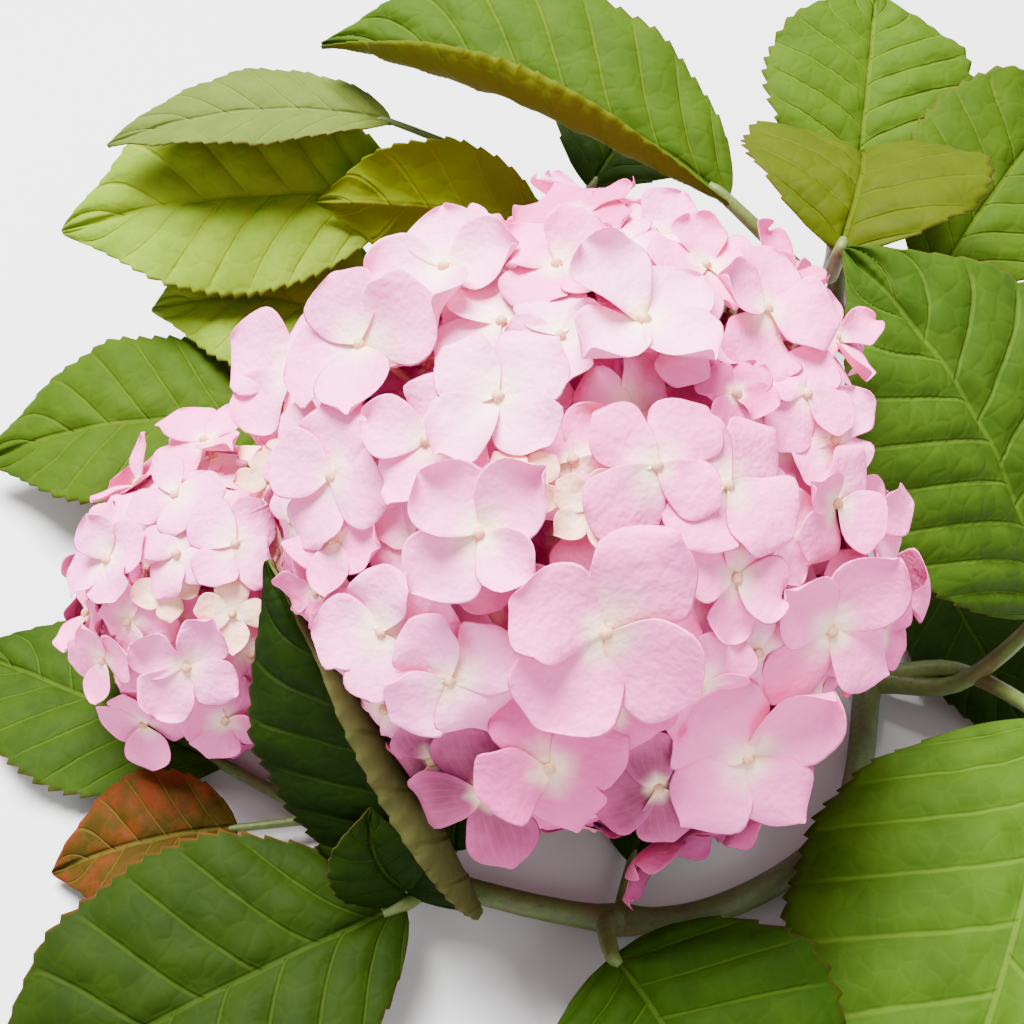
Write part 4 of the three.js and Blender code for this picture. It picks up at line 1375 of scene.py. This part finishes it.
def lay_under(points, owner, florets, bloom, placed):
    """Petals layered floret by floret, so none comes up through another."""
    order = np.argsort(owner, kind="stable").reshape(len(florets), -1)
    for floret, rows in zip(florets, order):
        trees = [
            tree for place, size, tree in placed
            if np.linalg.norm(place - floret["place"]) < NEIGHBOURS * (size + floret["size"])
        ]
        own = points[rows]
        if trees:
            top = (floret["place"] + floret["normal"] * FLORET_TOP)[None]
            sink, way = depths_under(top, trees, bloom)
            moved = way[0] * min(sink[0], DEEPEST_SINK)
            own -= moved
            floret["place"] = floret["place"] - moved
            upper = own.reshape(4, 2, PETAL_GRID, 3)[:, 0].reshape(-1, 3)
            press, way = depths_under(upper, trees, bloom)
            press = np.minimum(press, DEEPEST_PRESS).reshape(4, len(ALONG), len(ACROSS))
            push = spread_out(press).reshape(4, 1, PETAL_GRID, 1) * way.reshape(4, 1, PETAL_GRID, 3)
            own = (own.reshape(4, 2, PETAL_GRID, 3) - push).reshape(-1, 3)
            points[rows] = own
        placed.append((floret["place"], floret["size"], underside(own)))
    return points


# On the bake's map: the margin of a petal's cell, and how far the lower rim is drawn out
CELL_MARGIN = 0.08
RIM_PUSH = 0.03


def petal_cells(mesh, count):
    """Each petal's own place on the bake's map, upper and lower face apart."""
    columns = math.ceil(math.sqrt(count * 2))
    corner = read(mesh.loops, "vertex_index", kind=int)
    cell = read(mesh.attributes["cell"].data, "value", kind=np.int32)
    under = read(mesh.attributes["under"].data, "value")
    local = read(mesh.attributes["Petal"].data, "vector", 2).reshape(-1, 2)
    sizes = read(mesh.polygons, "loop_total", kind=int)
    face_of = np.repeat(np.arange(len(sizes)), sizes)
    face_under = np.zeros(len(sizes))
    np.add.at(face_under, face_of, under[corner])
    face_under /= sizes
    lower = face_under[face_of] > 0.99
    rim = (face_under[face_of] > 0.01) & ~lower
    push = np.where(rim & (under[corner] > 0.5), RIM_PUSH, 0.0)
    square = cell[corner] * 2 + lower
    inside = CELL_MARGIN + local * (1 - 2 * CELL_MARGIN)
    inside[:, 0] += np.sign(local[:, 0] - 0.5) * push
    inside[:, 1] += np.where(local[:, 1] > 0.99, push, 0)
    across = (square % columns + inside[:, 0]) / columns
    up = (square // columns + inside[:, 1]) / columns
    set_uv(mesh, "OFBake", np.stack([across, up], 1))


def make_petals(name, florets, bloom, rng, kinds, material, leaf_tree, placed, smooth):
    places, turns, stretches, picks, tones, hearts = petal_rows(florets, rng)
    extra = {"tone": (tones, "FLOAT_COLOR"), "heart": (hearts, "FLOAT"),
             "cell": (np.arange(len(places), dtype=np.int32), "INT")}
    made = scatter(name, places, turns, stretches, picks, extra, kinds, material)
    owner = read(made.data.attributes["cell"].data, "value", kind=np.int32)
    points = keep_in_place(points_of(made.data), bloom, leaf_tree)
    points = lay_under(points, owner, florets, bloom, placed)
    points[:, 2] = np.maximum(points[:, 2], FLOOR_GAP)
    set_points(made.data, points)
    petal_cells(made.data, len(places))
    if smooth:
        made.modifiers.new("rounder", "SUBSURF").levels = 1
        make_plain(made)
    shade_smooth(made.data)
    return made


BUD_RISE = 0.7
BUD_SIZE = 0.95
BUD_GROWTH = 0.012


def make_buds(name, florets, buds, material, leaf_tree, bloom):
    places, turns, stretches = [], [], []
    for floret in florets:
        normal = floret["normal"]
        right, above = facing(normal)
        turn = floret["spin"] + math.pi / 4
        across = right * math.cos(turn) + above * math.sin(turn)
        turns.append(turn_of(across, np.cross(normal, across), normal))
        places.append(floret["place"] + normal * BUD_RISE)
        stretches.append([BUD_SIZE + floret["size"] * BUD_GROWTH] * 3)
    made = scatter(name, places, turns, stretches, [0] * len(places), {}, buds, material)
    set_points(made.data, keep_in_place(points_of(made.data), bloom, leaf_tree))
    return made


# A bloom's rays and stalks: the forks' place as shares of the radius, and radii for one 80 wide
FORK_OUT = 0.42
FORK_DOWN = 0.12
RAY_SAG = 0.03
RAY_RADII = (2.2, 1.3)
FLORET_STALK_RADII = (0.8, 0.55)
RAY_STEPS = 9
FLORET_STALK_STEPS = 7
# A floret's stalk ends just under it, bends near it, and starts at a fork on its side of the bloom
STALK_END = 0.6
BEND_SHARE = 0.6
BEND_DROP = 2
SAME_SIDE = 0.6


def stalk_paths(bloom, florets):
    """Rays from the top of the shoot, each branching into the thin stalks of its florets."""
    centre = bloom["centre"]
    axis = unit(bloom["axis"])
    radius = bloom["radius"]
    foot = centre - axis * bloom["core"] * radius
    forks = [centre + out * radius * FORK_OUT - axis * radius * FORK_DOWN
             for out in spiral(bloom, bloom["rays"], RAY_CAP)]
    paths = []
    thick = radius / 80
    for fork in forks:
        middle = (foot + fork) / 2 - axis * radius * RAY_SAG
        shares = np.linspace(0, 1, RAY_STEPS)
        path = curve_at([foot, middle, fork], shares)
        paths.append((path, thick * lerp(*RAY_RADII, shares)))
    for floret in florets:
        top = floret["place"] - floret["normal"] * STALK_END
        gaps = [np.linalg.norm(top - fork) - SAME_SIDE * (fork - foot) @ floret["out"]
                for fork in forks]
        fork = forks[int(np.argmin(gaps))]
        bend = lerp(fork, top, BEND_SHARE) - floret["normal"] * BEND_DROP * thick
        shares = np.linspace(0, 1, FLORET_STALK_STEPS)
        path = curve_at([fork, bend, top], shares)
        paths.append((path, thick**0.5 * lerp(*FLORET_STALK_RADII, shares)))
    return paths


def settled(florets, bloom, leaf_tree):
    """The florets on this bloom's side of the plane, clear of the leaves."""
    middle, towards = dividing_plane()
    side = 1 if bloom is BLOOMS[0] else -1
    kept = [f for f in florets if (f["place"] - middle) @ towards * side > LEAST_SIDE
            or f["tone"] not in (None, "rose")]
    places = keep_in_place(np.array([f["place"] for f in kept]), bloom, leaf_tree)
    for floret, place in zip(kept, places):
        floret["place"] = place
    return kept


def bloom_pieces(bloom, leaf_tree, kinds, buds, petals, bud_finish, ray_finish):
    rng = np.random.default_rng(bloom["seed"])
    florets = place_florets(bloom)
    chosen = florets[:len(bloom["chosen"])]
    florets += fill_gaps(bloom, florets, rng)
    middle = lower_florets(bloom, rng, bloom["middle"], MIDDLE_LAYER, None, chosen)
    # The inner layer is all rose: painted shade deep in the ball, between the outer florets
    hidden = lower_florets(bloom, rng, bloom["inner"], INNER_LAYER, "rose", chosen)
    name = bloom["name"]
    others = florets[len(chosen):]
    chosen.sort(key=lambda floret: -floret["size"])
    others.sort(key=lambda floret: -floret["reach"])
    shown = settled(chosen + others + middle, bloom, leaf_tree)
    hidden = settled(hidden, bloom, leaf_tree)
    placed = []
    pieces = []
    steps = np.linspace(0, len(shown), bloom["parts"] + 1).astype(int)
    for letter, first, last in zip("abc", steps[:-1], steps[1:]):
        pieces.append(make_petals(f"{name}_petals_{letter}", shown[first:last], bloom, rng,
                                  kinds, petals, leaf_tree, placed, True))
    pieces.append(make_petals(f"{name}_inner_petals", hidden, bloom, rng, kinds, petals,
                              leaf_tree, placed, False))
    pieces.append(make_buds(f"{name}_buds", shown + hidden, buds, bud_finish, leaf_tree, bloom))
    stalks = grow_shoots(f"{name}_stalks", stalk_paths(bloom, shown + hidden), 6, 0.0,
                         ray_finish)
    for piece in (*pieces, stalks):
        declare(piece, "bloom", name)


# Put the branch together

place_camera()

bark = bark_material()
shoot = shoot_material("green_shoots", (0.07, 0.1, 0.016), (0.13, 0.05, 0.022))
stalk = shoot_material("leaf_stalks", (0.09, 0.13, 0.02), (0.12, 0.055, 0.025))

for stem_name, knots, radii, swollen in STEMS:
    is_wood = stem_name == "main_stem"
    relief = WOOD_RELIEF if is_wood else SHOOT_RELIEF
    piece = grow_shoots(
        stem_name + "_detailed", [stem_path(knots, radii, swollen, relief)],
        24 if is_wood else 16, relief, bark if is_wood else shoot,
    )
    declare(piece, "stem_bark" if is_wood else "green_shoot", stem_name)

leaf_points, leaf_faces = [], []
for row in LEAVES:
    blade = leaf_piece(row)
    grown = grow_shoots(
        row["name"] + "_stalk", [leaf_stalk_path(row)], STALK_SIDES, STALK_RELIEF, stalk
    )
    points = points_of(blade.data)
    faces = [tuple(face.vertices) for face in blade.data.polygons]
    if row["name"] == "leaf_between_blooms":
        overlying_leaf = search_tree(points, faces)
    first = sum(map(len, leaf_points))
    leaf_points.append(points)
    leaf_faces += [[first + i for i in face] for face in faces]
    blade.name = row["name"] + "_blade"
    declare(blade, row["slot"], row["name"])
    declare(grown, row["slot"], row["name"])
leaf_tree = search_tree(np.concatenate(leaf_points), leaf_faces)

petal_kinds = hidden_collection(
    "petal_kinds", [petal_shape(kind, i) for i, kind in enumerate(PETAL_KINDS)]
)
bud_kinds = hidden_collection("bud_kinds", [bud_shape()])
petal_finish = petal_material()
bud_finish = mottled_finish(
    "floret_buds", 900, (0.35, 0.65), light=(0.7, 0.42, 0.24), dark=(0.56, 0.26, 0.18),
    distance=0.0004, strength=0.5, roughness=0.55,
)
ray_finish = mottled_finish(
    "bloom_stalks", 160, (0.3, 0.7), light=(0.4, 0.4, 0.12), dark=(0.7, 0.26, 0.24),
    distance=0.0003, strength=0.4, roughness=0.5,
)
for row in BLOOMS:
    bloom_pieces(row, leaf_tree, petal_kinds, bud_kinds, petal_finish, bud_finish, ray_finish)

floor = mesh_object(
    "floor",
    np.array([[-1, -1, 0], [1, -1, 0], [1, 1, 0], [-1, 1, 0]]) * FLOOR_HALF / MM + MIDDLE,
    [(0, 1, 2, 3)],
    finish_material("floor", lambda net: {"Base Color": (0.6, 0.6, 0.595, 1)}, Roughness=0.8),
)

world = bpy.data.worlds.new("studio")
bpy.context.scene.world = world
world.use_nodes = True
background = world.node_tree.nodes["Background"]
background.inputs[0].default_value = (1, 1, 1, 1)
background.inputs[1].default_value = WORLD_LIGHT
add_softbox("softbox_above", (-0.25, 0.35, 1.3), size=0.8, watts=125)
add_softbox("softbox_front", (0.6, -1.2, 0.9), size=0.9, watts=11)
